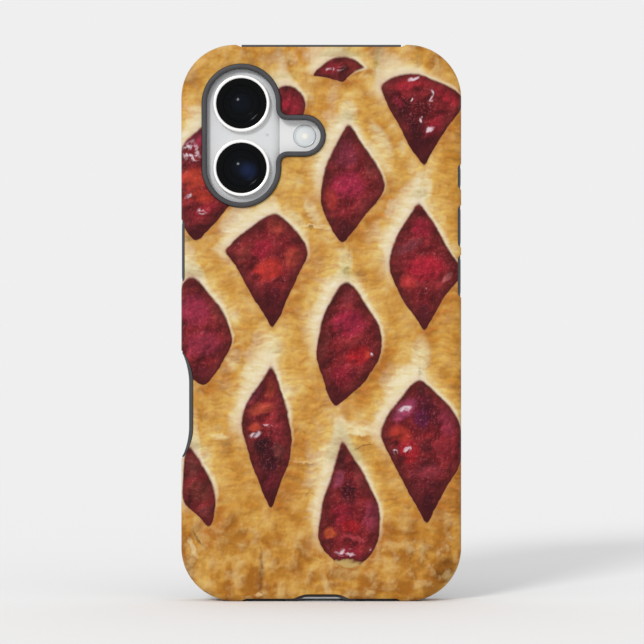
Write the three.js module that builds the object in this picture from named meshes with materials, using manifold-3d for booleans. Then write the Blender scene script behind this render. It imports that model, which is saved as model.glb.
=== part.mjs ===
// A slim phone with two rear cameras, shut in a two-layer protective case and standing on its lower edge.
// The case is a hard shell over a soft liner. The liner shows as the rim round the cameras, as the pads
// over the side buttons, as the strips at the top and bottom, and as the lip round the screen.
//
// Millimetres, +Z up. The phone's back looks along -Y and its screen along +Y. The origin is the middle of
// the bottom of the whole object's bounding box.

import * as THREE from "three";
import { mergeVertices } from "three/addons/utils/BufferGeometryUtils.js";
import Module from "manifold-3d";

const wasm = await Module();
wasm.setup();

// ---------------------------------------------------------------- driving dimensions

const GAP = 0.1; // clearance between pieces that touch in the real object
const FAR = 200; // longer than anything here, for cutters that run right through

const PHONE = { width: 71.6, height: 147.6, thickness: 7.8, corner: 12, glass: 0.8 };
const WALL = { liner: 1.2, shell: 1.3, linerBack: 0.9, lip: 0.9 };
const SIDE_WALL = WALL.liner + WALL.shell + 1.5 * GAP; // from the phone's side to the shell's outside
const SHELL = {
  width: PHONE.width + 2 * SIDE_WALL,
  height: PHONE.height + 2 * SIDE_WALL,
  corner: PHONE.corner + SIDE_WALL,
  edge: 2.2, // rounding between the back panel and the sides
  frontY: 4.2,
};
const MIDDLE_Z = SHELL.height / 2;

// Depths, from the lip round the screen to the rim round the cameras. The box is centred on Y = 0.
const THICKNESS = 12.1;
const LIP_Y = THICKNESS / 2;
const SCREEN_Y = LIP_Y - WALL.lip;
const PHONE_BACK_Y = SCREEN_Y - PHONE.thickness;
const LINER_BACK_Y = PHONE_BACK_Y - GAP - WALL.linerBack;
const SHELL_INNER_Y = LINER_BACK_Y - GAP;
const SHELL_BACK_Y = SHELL_INNER_Y - WALL.shell;
const RIM_Y = -THICKNESS / 2;

// The cameras stand one above the other near the phone's upper left corner, seen from the back.
const LENS = { x: -21.9, spacing: 17.7, ring: 7.8, glass: 6.85, ringHeight: 1.7, glassDrop: 0.25 };
const LENS_MIDDLE_Z = 127.8;
const PLATEAU = { radius: 10.3, height: 1.1, shoulder: 2.6 };
const FLASH = { reach: 17, radius: 3.05, pocket: 0.45, proud: 0.15 };
const RIM = { radius: 10.83, tabRadius: 5.69, fillet: 1.8, width: 1.35 };

// Pads of the liner that fill windows in the shell's sides: their middle height and length.
const RIGHT_PADS = [
  { z: 116.6, length: 6.8 },
  { z: 103, length: 11.4 },
  { z: 89.3, length: 11.4 },
];
const LEFT_PADS = [{ z: 96.2, length: 17 }];
const PAD = { inset: 0.25, backY: -4.62, frontY: 2.6, keyProud: 0.15, keyWidth: 2.6 };

// Strips of the liner that show where the shell is cut away at the top and the bottom.
const STRIP_BACK_Y = -3.9;
const TOP_STRIP = { half: 22, taper: 1.5, shellZ: SHELL.height - 0.7, linerZ: SHELL.height };
const BOTTOM_STRIP = { half: 20.6, taper: 1.4, shellZ: 0.85, linerZ: 0.5 };

// The notch for the charging plug, in the shell and in the liner: half widths at the floor and at its roof.
const SHELL_NOTCH = { mouth: 9.2, roof: 4.9, height: 2.1 };
const LINER_NOTCH = { mouth: 6.95, roof: 4.6, height: 1.15 };
const FOOT = { from: 6.95, to: 9.6 }; // the liner's feet, one beside each end of the notch
const PLUG_SLOT = { half: 6.3, backY: -2, frontY: 4.2 };
const PORT = { half: 4.5, radius: 1.65, depth: 6.5, y: 1.25 };
const SPEAKER_SLOT = { x: 15.2, half: 4.6, radius: 1.1 };

// The scoop in the left side, where a finger reaches the camera key on the phone's frame.
const SCOOP = { z: 54, half: 15.4, ramp: 6.5, linerX: -36.25, shellX: -35.1 };
const KEY = { half: 9.4, radius: 1.5, y: 1.25, recess: 0.45 };
const KEY_SLOT = { half: 10.6, radius: 2.25 };

// ---------------------------------------------------------------- solids from three.js geometry

/** A closed three.js geometry as a solid. */
function solid(geometry) {
  const bare = geometry.clone();
  bare.deleteAttribute("normal");
  bare.deleteAttribute("uv");
  const merged = mergeVertices(bare, 1e-4);
  return new wasm.Manifold(
    new wasm.Mesh({
      numProp: 3,
      vertProperties: merged.attributes.position.array,
      triVerts: new Uint32Array(merged.index.array),
    }),
  );
}

/** A solid as a named mesh. */
function meshOf(name, made, color, roughness, metalness = 0) {
  const { numProp, vertProperties, triVerts } = made.getMesh();
  const positions = new Float32Array((vertProperties.length / numProp) * 3);
  for (let i = 0; i < positions.length / 3; i++) {
    positions.set(vertProperties.subarray(i * numProp, i * numProp + 3), i * 3);
  }
  const geometry = new THREE.BufferGeometry();
  geometry.setAttribute("position", new THREE.BufferAttribute(positions, 3));
  geometry.setIndex(new THREE.BufferAttribute(triVerts, 1));
  geometry.computeVertexNormals();
  const mesh = new THREE.Mesh(geometry, new THREE.MeshStandardMaterial({ color, roughness, metalness }));
  mesh.name = name;
  return mesh;
}

const X = new THREE.Vector3(1, 0, 0);
const Y = new THREE.Vector3(0, 1, 0);
const Z = new THREE.Vector3(0, 0, 1);
const ALONG = {
  x: new THREE.Matrix4().makeBasis(Y, Z, X), // the outline is drawn in (y, z)
  y: new THREE.Matrix4().makeBasis(X, Z, Y.clone().negate()), // in (x, z), and its depth runs towards -Y
  z: new THREE.Matrix4(), // in (x, y)
};

/** An outline pushed along an axis, between two depths on that axis. */
function prism(outline, axis, from, to, curveSegments = 7) {
  const start = axis === "y" ? -Math.max(from, to) : Math.min(from, to);
  const depth = Math.abs(to - from);
  const geometry = new THREE.ExtrudeGeometry(outline, { depth, bevelEnabled: false, curveSegments });
  return solid(geometry.translate(0, 0, start).applyMatrix4(ALONG[axis]));
}

/** A plate in the XZ plane whose edge curves in near endY, by `inset` sideways over `fall` of its depth. */
function roundedPlate(outline, startY, endY, inset, fall = inset, curveSegments = 8) {
  const towardsBack = endY < startY;
  const depth = Math.abs(endY - startY) - fall;
  const geometry = new THREE.ExtrudeGeometry(outline, {
    depth,
    bevelThickness: fall,
    bevelSize: inset,
    bevelOffset: -inset,
    bevelSegments: inset > 1 ? 3 : 2,
    curveSegments,
  });
  // Both ends are curved, so the plate starts early and the spare end is cut off.
  const low = towardsBack ? -startY : -endY + fall;
  const whole = solid(geometry.translate(0, 0, low).applyMatrix4(ALONG.y));
  const spareY = startY + (towardsBack ? fall : -fall);
  return whole.subtract(block(-FAR / 2, FAR / 2, spareY - fall, spareY + fall, -FAR, FAR));
}

function block(x0, x1, y0, y1, z0, z1) {
  const box = new THREE.BoxGeometry(x1 - x0, y1 - y0, z1 - z0);
  return solid(box.translate((x0 + x1) / 2, (y0 + y1) / 2, (z0 + z1) / 2));
}

const join = (solids) => solids.reduce((a, b) => a.add(b));
const cut = (body, cutters) => cutters.reduce((a, b) => a.subtract(b), body);

// ---------------------------------------------------------------- outlines

/** The phone's outline, grown on all sides. */
function phoneOutline(grown) {
  const half = PHONE.width / 2 + grown;
  const tall = PHONE.height / 2 + grown;
  const r = PHONE.corner + grown;
  const s = new THREE.Shape();
  s.absarc(half - r, MIDDLE_Z + tall - r, r, 0, Math.PI / 2, false);
  s.absarc(-half + r, MIDDLE_Z + tall - r, r, Math.PI / 2, Math.PI, false);
  s.absarc(-half + r, MIDDLE_Z - tall + r, r, Math.PI, 1.5 * Math.PI, false);
  s.absarc(half - r, MIDDLE_Z - tall + r, r, 1.5 * Math.PI, 2 * Math.PI, false);
  return s;
}

/** A pill standing or lying round (u, v), with its straight part along v or along u. */
function pill(u, v, half, radius, upright = true) {
  const reach = half - radius;
  const s = new THREE.Shape();
  if (upright) {
    s.absarc(u, v + reach, radius, 0, Math.PI, false);
    s.absarc(u, v - reach, radius, Math.PI, 2 * Math.PI, false);
  } else {
    s.absarc(u + reach, v, radius, -Math.PI / 2, Math.PI / 2, false);
    s.absarc(u - reach, v, radius, Math.PI / 2, 1.5 * Math.PI, false);
  }
  return s;
}

/** A pill round both cameras with a round-ended tab for the flash, drawn in by `inset` on all sides. */
function cameraOutline(inset) {
  const big = RIM.radius - inset;
  const small = RIM.tabRadius - inset;
  const fillet = RIM.fillet + inset;
  const half = LENS.spacing / 2;
  const at = (x, z) => [LENS.x + x, LENS_MIDDLE_Z + z];
  const s = new THREE.Shape();
  s.moveTo(...at(big, -half));
  s.lineTo(...at(big, -small - fillet));
  s.absarc(...at(big + fillet, -small - fillet), fillet, Math.PI, Math.PI / 2, true);
  s.absarc(...at(FLASH.reach, 0), small, -Math.PI / 2, Math.PI / 2, false);
  s.absarc(...at(big + fillet, small + fillet), fillet, 1.5 * Math.PI, Math.PI, true);
  s.absarc(...at(0, half), big, 0, Math.PI, false);
  s.absarc(...at(0, -half), big, Math.PI, 2 * Math.PI, false);
  return s;
}

/** Everything left of a smooth scoop whose flat floor is at floorX. */
function scoopOutline(floorX, grown = 0) {
  const edge = -SHELL.width / 2;
  const low = SCOOP.z - SCOOP.half - grown;
  const high = SCOOP.z + SCOOP.half + grown;
  const bend = SCOOP.ramp / 2;
  const s = new THREE.Shape();
  s.moveTo(edge - 5, low);
  s.lineTo(edge - 0.01, low);
  s.bezierCurveTo(edge + 0.6, low + bend, floorX, low + bend, floorX, low + SCOOP.ramp);
  s.lineTo(floorX, high - SCOOP.ramp);
  s.bezierCurveTo(floorX, high - bend, edge + 0.6, high - bend, edge - 0.01, high);
  s.lineTo(edge - 5, high);
  return s;
}

/** A trapezoid that opens outwards from the level innerZ to edgeZ, and runs straight on beyond it. */
function taperedOutline(innerHalf, outerHalf, innerZ, edgeZ) {
  const beyond = edgeZ + 5 * Math.sign(edgeZ - innerZ);
  const s = new THREE.Shape();
  s.moveTo(-outerHalf, beyond);
  s.lineTo(-outerHalf, edgeZ);
  s.lineTo(-innerHalf, innerZ);
  s.lineTo(innerHalf, innerZ);
  s.lineTo(outerHalf, edgeZ);
  s.lineTo(outerHalf, beyond);
  return s;
}

const stripOutline = ({ half, taper, shellZ }, edgeZ) => taperedOutline(half, half + taper, shellZ, edgeZ);
const notchOutline = ({ mouth, roof, height }) => taperedOutline(roof, mouth, height, 0);

// ---------------------------------------------------------------- the case

/** The case's outer skin, drawn in by `inset`: what the shell is cut from and the pads are trimmed to. */
const skin = (inset) =>
  roundedPlate(phoneOutline(SIDE_WALL - inset), SHELL.frontY, SHELL_BACK_Y + inset, SHELL.edge);

const sidePads = () => [
  ...RIGHT_PADS.map((pad) => ({ ...pad, side: 1 })),
  ...LEFT_PADS.map((pad) => ({ ...pad, side: -1 })),
];

/** A side window's block, grown on all sides: cuts the shell's window, or fills it as the liner's pad. */
function windowBlock({ z, length, side }, grown) {
  const inner = SHELL.width / 2 - WALL.shell - 2 * GAP;
  const [x0, x1] = side > 0 ? [inner, inner + 5] : [-inner - 5, -inner];
  const outline = new THREE.Shape();
  const y0 = PAD.backY - grown;
  const y1 = PAD.frontY + grown;
  const half = length / 2 + grown;
  const r = 1.2;
  outline.absarc(y1 - r, z + half - r, r, 0, Math.PI / 2, false);
  outline.absarc(y0 + r, z + half - r, r, Math.PI / 2, Math.PI, false);
  outline.absarc(y0 + r, z - half + r, r, Math.PI, 1.5 * Math.PI, false);
  outline.absarc(y1 - r, z - half + r, r, 1.5 * Math.PI, 2 * Math.PI, false);
  return prism(outline, "x", x0, x1, 4);
}

/** The hard shell: back panel and sides, open at the front, the cameras, the buttons and the plug. */
function makeShell() {
  const hollow = roundedPlate(phoneOutline(WALL.liner + GAP * 1.5), FAR / 4, SHELL_INNER_Y, 1);
  const wall = WALL.shell + 5 * GAP;
  return cut(skin(0), [
    hollow,
    prism(cameraOutline(-GAP), "y", 0, -FAR / 4),
    ...sidePads().map((pad) => windowBlock(pad, GAP)),
    prism(scoopOutline(SCOOP.shellX, 0.4), "y", -FAR / 4, FAR / 4),
    prism(stripOutline(TOP_STRIP, SHELL.height), "y", -FAR / 4, FAR / 4),
    prism(stripOutline(BOTTOM_STRIP, 0), "y", -FAR / 4, FAR / 4),
    block(-TOP_STRIP.half, TOP_STRIP.half, STRIP_BACK_Y - GAP, FAR / 4, SHELL.height - wall, FAR),
    block(-BOTTOM_STRIP.half, BOTTOM_STRIP.half, STRIP_BACK_Y - GAP, FAR / 4, -5, wall),
    prism(notchOutline(SHELL_NOTCH), "y", -FAR / 4, FAR / 4),
  ]);
}

/** The soft liner: tray, lip, camera rim, button pads, end strips and the scoop's edge, in one piece. */
function makeLiner() {
  const tray = roundedPlate(phoneOutline(WALL.liner + GAP / 2), SHELL.frontY, LINER_BACK_Y, 1);
  const lip = roundedPlate(phoneOutline(SIDE_WALL - 0.3), SHELL.frontY + GAP, LIP_Y, 0.7);
  const bridge = prism(phoneOutline(WALL.liner), "y", SHELL.frontY - 1, SHELL.frontY + 0.5);
  const rim = prism(cameraOutline(0), "y", LINER_BACK_Y + 0.4, RIM_Y);

  const padSkin = skin(PAD.inset);
  const pads = sidePads().map((pad) => windowBlock(pad, -GAP).intersect(padSkin));
  const keys = sidePads().map((pad) => {
    const x = pad.side * (SHELL.width / 2 - PAD.inset);
    const outline = pill((PAD.frontY + PAD.backY) / 2 + 0.4, pad.z, pad.length / 2 - 0.9, PAD.keyWidth / 2);
    return prism(outline, "x", x - pad.side, x + pad.side * PAD.keyProud, 6);
  });

  const depth = WALL.shell + 4 * GAP;
  const lipY = SHELL.frontY + 1;
  const topHalf = TOP_STRIP.half - GAP;
  const bottomHalf = BOTTOM_STRIP.half - GAP;
  const footY = LIP_Y - 0.7;
  const endSkin = roundedPlate(phoneOutline(SIDE_WALL), LIP_Y, SHELL_BACK_Y, SHELL.edge);
  const ends = [
    block(-topHalf, topHalf, STRIP_BACK_Y, lipY, SHELL.height - depth, TOP_STRIP.linerZ),
    block(-bottomHalf, bottomHalf, STRIP_BACK_Y, lipY, BOTTOM_STRIP.linerZ, depth),
    block(FOOT.from, FOOT.to, STRIP_BACK_Y, footY, 0, depth),
    block(-FOOT.to, -FOOT.from, STRIP_BACK_Y, footY, 0, depth),
  ].map((piece) => piece.intersect(endSkin));

  const scoopRing = prism(scoopOutline(SCOOP.shellX - GAP, 0.3), "y", SHELL.frontY + 0.5, PAD.backY);
  const scoopEdge = scoopRing.intersect(padSkin);

  const pocket = roundedPlate(phoneOutline(GAP / 2), SCREEN_Y + GAP, PHONE_BACK_Y - GAP, 0.3);
  const screenOpening = prism(phoneOutline(-1.1), "y", 0, FAR / 4);
  const plateauPocket = makePlateau(0.2);
  const speakerSlots = [-1, 1].map((side) => {
    const outline = pill(side * SPEAKER_SLOT.x, PORT.y, SPEAKER_SLOT.half, SPEAKER_SLOT.radius, false);
    return prism(outline, "z", -5, 10, 6);
  });
  return cut(join([tray, bridge, lip, rim, ...pads, ...keys, ...ends, scoopEdge]), [
    pocket,
    screenOpening,
    plateauPocket,
    prism(cameraOutline(RIM.width), "y", 0, -FAR / 4),
    prism(scoopOutline(SCOOP.linerX), "y", -FAR / 4, FAR / 4),
    prism(pill(KEY.y, SCOOP.z, KEY_SLOT.half, KEY_SLOT.radius), "x", -FAR / 4, -PHONE.width / 4),
    prism(notchOutline(LINER_NOTCH), "y", -FAR / 4, FAR / 4),
    block(-PLUG_SLOT.half, PLUG_SLOT.half, PLUG_SLOT.backY, PLUG_SLOT.frontY, -5, PHONE.height / 4),
    ...speakerSlots,
  ]);
}

// ---------------------------------------------------------------- the phone

/** The raised part of the back glass round the cameras, with a soft shoulder. */
function makePlateau(grown) {
  const radius = PLATEAU.radius + grown;
  const outline = pill(LENS.x, LENS_MIDDLE_Z, LENS.spacing / 2 + radius, radius);
  const top = PHONE_BACK_Y - PLATEAU.height - grown;
  return roundedPlate(outline, PHONE_BACK_Y + 0.3, top, PLATEAU.shoulder, PLATEAU.height + grown, 12);
}

function makeBackGlass() {
  const front = PHONE_BACK_Y + PHONE.glass;
  const sheet = roundedPlate(phoneOutline(0), front, PHONE_BACK_Y, 0.5, 0.5);
  const pocket = pill(LENS.x + FLASH.reach, LENS_MIDDLE_Z, FLASH.radius + GAP, FLASH.radius + GAP - 0.001);
  return sheet.add(makePlateau(0)).subtract(prism(pocket, "y", PHONE_BACK_Y + FLASH.pocket, RIM_Y));
}

const makeScreen = () => roundedPlate(phoneOutline(0), SCREEN_Y - PHONE.glass, SCREEN_Y, 0.5, 0.5);

/** The metal body between the two glasses, with the charging port and the seat of the camera key. */
function makeFrame() {
  const frontY = SCREEN_Y - PHONE.glass - GAP;
  const body = prism(phoneOutline(0), "y", frontY, PHONE_BACK_Y + PHONE.glass + GAP);
  const lowest = MIDDLE_Z - PHONE.height / 2;
  const side = -PHONE.width / 2;
  return cut(body, [
    prism(pill(0, PORT.y, PORT.half, PORT.radius, false), "z", -5, lowest + PORT.depth, 8),
    prism(pill(KEY.y, SCOOP.z, KEY.half + GAP, KEY.radius + GAP), "x", side - 5, side + KEY.recess, 8),
  ]);
}

const makeKey = () =>
  prism(
    pill(KEY.y, SCOOP.z, KEY.half, KEY.radius),
    "x",
    -PHONE.width / 2,
    -PHONE.width / 2 + KEY.recess - GAP,
    8,
  );

/** A body of revolution about a line along Y, from a profile of [radius, y] points. */
function turned(profile, x, z, segments = 32) {
  const points = profile.map(([r, y]) => new THREE.Vector2(r, y));
  const geometry = new THREE.LatheGeometry(points, segments);
  const made = solid(geometry.translate(x, 0, z));
  return made;
}

const PLATEAU_Y = PHONE_BACK_Y - PLATEAU.height;

function makeLensRing(z) {
  const foot = PLATEAU_Y - GAP;
  const top = PLATEAU_Y - LENS.ringHeight;
  const inner = LENS.glass + GAP;
  return turned(
    [
      [inner, top],
      [LENS.ring - 0.25, top],
      [LENS.ring, top + 0.25],
      [LENS.ring, foot],
      [inner, foot],
      [inner, top],
    ],
    LENS.x,
    z,
  );
}

function makeLensGlass(z) {
  const foot = PLATEAU_Y - GAP;
  const top = PLATEAU_Y - LENS.ringHeight + LENS.glassDrop;
  return turned([[0, top], [LENS.glass, top], [LENS.glass, foot], [0, foot]], LENS.x, z);
}

function makeFlash() {
  const foot = PHONE_BACK_Y + FLASH.pocket - GAP;
  const top = PHONE_BACK_Y - FLASH.proud;
  const x = LENS.x + FLASH.reach;
  return turned([[0, top], [FLASH.radius, top], [FLASH.radius, foot], [0, foot]], x, LENS_MIDDLE_Z, 24);
}

// ---------------------------------------------------------------- the whole object

const phoneInCase = new THREE.Group();
const upperZ = LENS_MIDDLE_Z + LENS.spacing / 2;
const lowerZ = LENS_MIDDLE_Z - LENS.spacing / 2;
phoneInCase.add(
  meshOf("shell", makeShell(), 0xd2a35a, 0.4),
  meshOf("liner", makeLiner(), 0x4c4b50, 0.65),
  meshOf("phone_frame", makeFrame(), 0xd9dadb, 0.35, 1),
  meshOf("back_glass", makeBackGlass(), 0xe6e7e6, 0.2),
  meshOf("screen_glass", makeScreen(), 0x0b0b0d, 0.08),
  meshOf("camera_key", makeKey(), 0xc8cacc, 0.2),
  meshOf("lens_ring_upper", makeLensRing(upperZ), 0xf1efec, 0.3, 1),
  meshOf("lens_ring_lower", makeLensRing(lowerZ), 0xf1efec, 0.3, 1),
  meshOf("lens_glass_upper", makeLensGlass(upperZ), 0x08090c, 0.05),
  meshOf("lens_glass_lower", makeLensGlass(lowerZ), 0x08090c, 0.05),
  meshOf("flash", makeFlash(), 0xe4e3df, 0.15),
);

export default phoneInCase;
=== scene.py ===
"""A slim phone in a two-layer protective case, standing on its lower edge on a pale floor.

Lengths are in millimetres and turned to metres where a mesh is made. The printed back looks along -Y.
"""

import math

import bmesh
import bpy
from mathutils import Matrix, Vector


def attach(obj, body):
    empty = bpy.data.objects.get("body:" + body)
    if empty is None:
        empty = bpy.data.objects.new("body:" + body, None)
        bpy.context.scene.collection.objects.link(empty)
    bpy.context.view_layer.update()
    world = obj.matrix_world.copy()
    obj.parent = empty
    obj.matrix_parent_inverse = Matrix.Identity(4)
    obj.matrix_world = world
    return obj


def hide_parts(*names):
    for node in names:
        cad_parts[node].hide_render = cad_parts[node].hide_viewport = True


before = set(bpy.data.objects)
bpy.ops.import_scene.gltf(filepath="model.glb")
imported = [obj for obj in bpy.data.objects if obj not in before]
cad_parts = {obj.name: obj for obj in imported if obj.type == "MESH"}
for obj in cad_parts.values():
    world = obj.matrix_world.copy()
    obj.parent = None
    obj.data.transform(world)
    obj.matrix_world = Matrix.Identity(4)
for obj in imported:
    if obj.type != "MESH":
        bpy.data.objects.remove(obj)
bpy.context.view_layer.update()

MM = 0.001

# ------------------------------------------------------------------ sizes of the phone and its case

GAP = 0.1  # between parts that fit into each other
BEYOND = 20  # far enough for a cutter to pass right through

PHONE_WIDTH = 71.6
PHONE_HEIGHT = 147.6
PHONE_CORNER = 12.0
MIDDLE_Z = 76.45  # half way up the case
CASE_HALF_WIDTH = 38.45
CASE_HEIGHT = 152.9

# How far each outline stands out from the phone's own, all round.
SHELL_GROWN = 2.65
TRAY_GROWN = 1.25
SCREEN_OPENING = -1.1

# Depths, from the lip round the screen to the rim round the cameras.
LIP_Y = 6.05
SCREEN_Y = 5.15
SHELL_FRONT_Y = 4.2
GLASS_BACK_Y = -2.65
LINER_BACK_Y = -3.65
PLATEAU_Y = -3.75
SHELL_BACK_Y = -5.05
RIM_Y = -6.05
SHELL_EDGE = 2.2  # rounding between the shell's back panel and its sides

LENS_X = -21.9
LENS_MIDDLE_Z = 127.8
LENS_SPACING = 17.7
UPPER_LENS_Z = LENS_MIDDLE_Z + LENS_SPACING / 2
LOWER_LENS_Z = LENS_MIDDLE_Z - LENS_SPACING / 2
FLASH_X = LENS_X + 17.35
MICROPHONE_X = LENS_X + 7.1
MICROPHONE_Z = LENS_MIDDLE_Z + 0.2

# The liner's rim: its radius round the cameras, round the flash, and in the corners between them.
RIM_RADIUS = 10.83
TAB_RADIUS = 5.69
RIM_FILLET = 1.8

# The button pads' middle heights and lengths.
RIGHT_PADS = ((116.6, 6.8), (103.0, 11.4), (89.3, 11.4))
LEFT_PADS = ((96.2, 17.0),)

SCOOP_Z = 54.0  # the finger scoop's middle, and that of the camera key in it
SCOOP_HALF_LENGTH = 15.4
SCOOP_RAMP = 6.0
PORT_Y = 1.25  # depth of the charging port, the speaker holes and the camera key
BAND_FOOT_Z = SHELL_GROWN  # the phone's lower edge
EARPIECE_Z = 148.45
FRONT_CAMERA_Z = 143.0

# The screen's lit area.
LIT_HALF_WIDTH = 33.6
LIT_HALF_HEIGHT = 71.6
LIT_CORNER = 10.0

# ------------------------------------------------------------------ meshes


def round_off(bm, geom, reach, steps, affect="EDGES"):
    """Rounds off edges, or a flat face's corners, to a quarter circle."""
    bmesh.ops.bevel(
        bm,
        geom=geom,
        offset=reach * MM,
        offset_type="OFFSET",
        segments=steps,
        profile=0.5,
        affect=affect,
        material=-1,
    )


def outline(bm, corners, y):
    """Draws a face at depth y. Each corner is (x, z, how far its rounding reaches along both edges)."""
    points = [bm.verts.new((x * MM, y * MM, z * MM)) for x, z, _ in corners]
    bm.faces.new(points)
    for reach in sorted({corner[2] for corner in corners} - {0}):
        sharp = [point for point, corner in zip(points, corners) if corner[2] == reach]
        round_off(bm, sharp, reach, 4 + round(reach * 2), affect="VERTICES")
    bmesh.ops.remove_doubles(bm, verts=bm.verts, dist=1e-7)


def rim_of(bm, y):
    """The edges that lie at depth y between a flat end and the wall below it."""
    level = [e for e in bm.edges if all(abs(v.co.y - y * MM) < 1e-7 for v in e.verts)]
    return [e for e in level if e.calc_face_angle(0) > 0.5]


def extrude_along_y(bm, faces, distance):
    """Draws faces out along Y into a closed solid whose faces point outwards."""
    drawn_out = bmesh.ops.extrude_face_region(bm, geom=faces)["geom"]
    points = [g for g in drawn_out if isinstance(g, bmesh.types.BMVert)]
    bmesh.ops.translate(bm, vec=(0, distance * MM, 0), verts=points)
    bmesh.ops.recalc_face_normals(bm, faces=bm.faces)


def plate(corners, front, back, soft_front=0.0, soft_back=0.0, steps=8):
    """A plate between two depths whose outline has rounded corners, with soft edges at either end."""
    bm = bmesh.new()
    outline(bm, corners, front)
    extrude_along_y(bm, bm.faces[:], back - front)
    for end, soft in ((front, soft_front), (back, soft_back)):
        if soft:
            round_off(bm, rim_of(bm, end), soft, steps)
    return bm


def piece(name, bm):
    """Turns a bmesh into an object at the origin."""
    mesh = bpy.data.meshes.new(name)
    bm.to_mesh(mesh)
    bm.free()
    made = bpy.data.objects.new(name, mesh)
    bpy.context.scene.collection.objects.link(made)
    return made


def combine(body, tool, how):
    """Cuts `tool` out of `body`, joins it on, or keeps what they share, and throws the tool away."""
    change = body.modifiers.new(how, "BOOLEAN")
    change.operation = how
    change.solver = "EXACT"
    change.object = tool
    seen = body.evaluated_get(bpy.context.evaluated_depsgraph_get())
    whole = bpy.data.meshes.new_from_object(seen)
    body.modifiers.clear()
    spare = [body.data, tool.data]
    body.data = whole
    bpy.data.objects.remove(tool)
    for mesh in spare:
        bpy.data.meshes.remove(mesh)
    return body


def cut_all(body, tools):
    for tool in tools:
        combine(body, piece("cutter", tool), "DIFFERENCE")
    return body


def trim(body, grown, front, back):
    """Keeps what lies inside an outline that is rounded towards the back as the shell is."""
    skin = plate(phone_outline(grown), front, back, soft_back=SHELL_EDGE, steps=8)
    return combine(body, piece("skin", skin), "INTERSECT")


def finish_edges(body, radius, steps=2, sharper_than=38):
    """Takes the sharpness off every outer edge, moulded or machined, then shades flat faces flat."""
    bm = bmesh.new()
    bm.from_mesh(body.data)
    bmesh.ops.remove_doubles(bm, verts=bm.verts, dist=2e-6)
    bmesh.ops.dissolve_degenerate(bm, edges=bm.edges, dist=2e-6)
    if radius:
        sharp = [e for e in bm.edges if e.is_convex and e.calc_face_angle(0) > math.radians(sharper_than)]
        round_off(bm, sharp, radius, steps)
    bm.to_mesh(body.data)
    bm.free()
    body.data.shade_smooth()
    body.data.set_sharp_from_angle(angle=math.radians(50))
    even = body.modifiers.new("even_shading", "WEIGHTED_NORMAL")
    even.keep_sharp = True
    return body


def rounded(x, z, half_wide, half_tall, corner):
    """The outline of a rectangle with rounded corners and its middle at (x, z)."""
    ends = ((-1, -1), (1, -1), (1, 1), (-1, 1))
    return [(x + side * half_wide, z + end * half_tall, corner) for side, end in ends]


def pill(x, z, half_wide, half_tall):
    """The outline of a round-ended slot, or of a circle."""
    return rounded(x, z, half_wide, half_tall, min(half_wide, half_tall))


def phone_outline(grown):
    """The phone's outline, grown on all sides."""
    return rounded(0, MIDDLE_Z, PHONE_WIDTH / 2 + grown, PHONE_HEIGHT / 2 + grown, PHONE_CORNER + grown)


def camera_outline(inset):
    """A pill round both cameras with a round-ended tab for the flash, drawn in on all sides."""
    big = RIM_RADIUS - inset
    small = TAB_RADIUS - inset
    end = LENS_SPACING / 2 + big
    tip = FLASH_X - LENS_X + small
    fillet = RIM_FILLET + inset
    lower_half = [(-big, -end, big), (big, -end, big), (big, -small, fillet), (tip, -small, small)]
    upper_half = [(x, -z, reach) for x, z, reach in reversed(lower_half)]
    return [(LENS_X + x, LENS_MIDDLE_Z + z, reach) for x, z, reach in lower_half + upper_half]


def block(x0, x1, y0, y1, z0, z1):
    return plate([(x0, z0, 0), (x1, z0, 0), (x1, z1, 0), (x0, z1, 0)], y1, y0)


def through_side(bm):
    """Turns a plate so that its outline's x runs along Y and its depth runs along -X."""
    bmesh.ops.rotate(bm, cent=(0, 0, 0), matrix=Matrix.Rotation(math.radians(90), 3, "Z"), verts=bm.verts)
    return bm


def through_bottom(bm):
    """Turns a plate so that its outline's z runs along -Y and its depth runs along Z."""
    bmesh.ops.rotate(bm, cent=(0, 0, 0), matrix=Matrix.Rotation(math.radians(90), 3, "X"), verts=bm.verts)
    return bm


def side_pads():
    """Each button pad's side, middle height and length."""
    return [(side, *pad) for side, pads in ((1, RIGHT_PADS), (-1, LEFT_PADS)) for pad in pads]


def side_window(side, z, length, grown):
    """A block through the side wall for one button pad, grown on all sides."""
    low, high = z - length / 2 - grown, z + length / 2 + grown
    back, front = -4.56 - grown, 2.6 + grown
    corners = [(y, height, 1.2) for y, height in ((back, low), (front, low), (front, high), (back, high))]
    inner, outer = 36.95, 42.0
    near, far = (-outer, -inner) if side > 0 else (inner, outer)
    return through_side(plate(corners, far, near))


def scoop(floor_x, longer=0.0, floor_bend=3.2):
    """Everything left of the finger scoop's floor, with soft bends at each end of its ramps."""
    low, high = SCOOP_Z - SCOOP_HALF_LENGTH - longer, SCOOP_Z + SCOOP_HALF_LENGTH + longer
    mouth_x, outside_x = -38.5, -46
    corners = [
        (outside_x, low, 0),
        (mouth_x, low, 2.4),
        (floor_x, low + SCOOP_RAMP, floor_bend),
        (floor_x, high - SCOOP_RAMP, floor_bend),
        (mouth_x, high, 2.4),
        (outside_x, high, 0),
    ]
    return plate(corners, BEYOND, -BEYOND)


def tapered_gap(inner_half, outer_half, inner_z, edge_z, bend):
    """A gap in an end wall that opens outwards from the level inner_z to edge_z."""
    outside_z = edge_z + math.copysign(5, edge_z - inner_z)
    left = [(-outer_half, outside_z, 0), (-outer_half, edge_z, 0), (-inner_half, inner_z, bend)]
    right = [(-x, z, reach) for x, z, reach in reversed(left)]
    return plate(left + right, BEYOND, -BEYOND)


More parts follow.
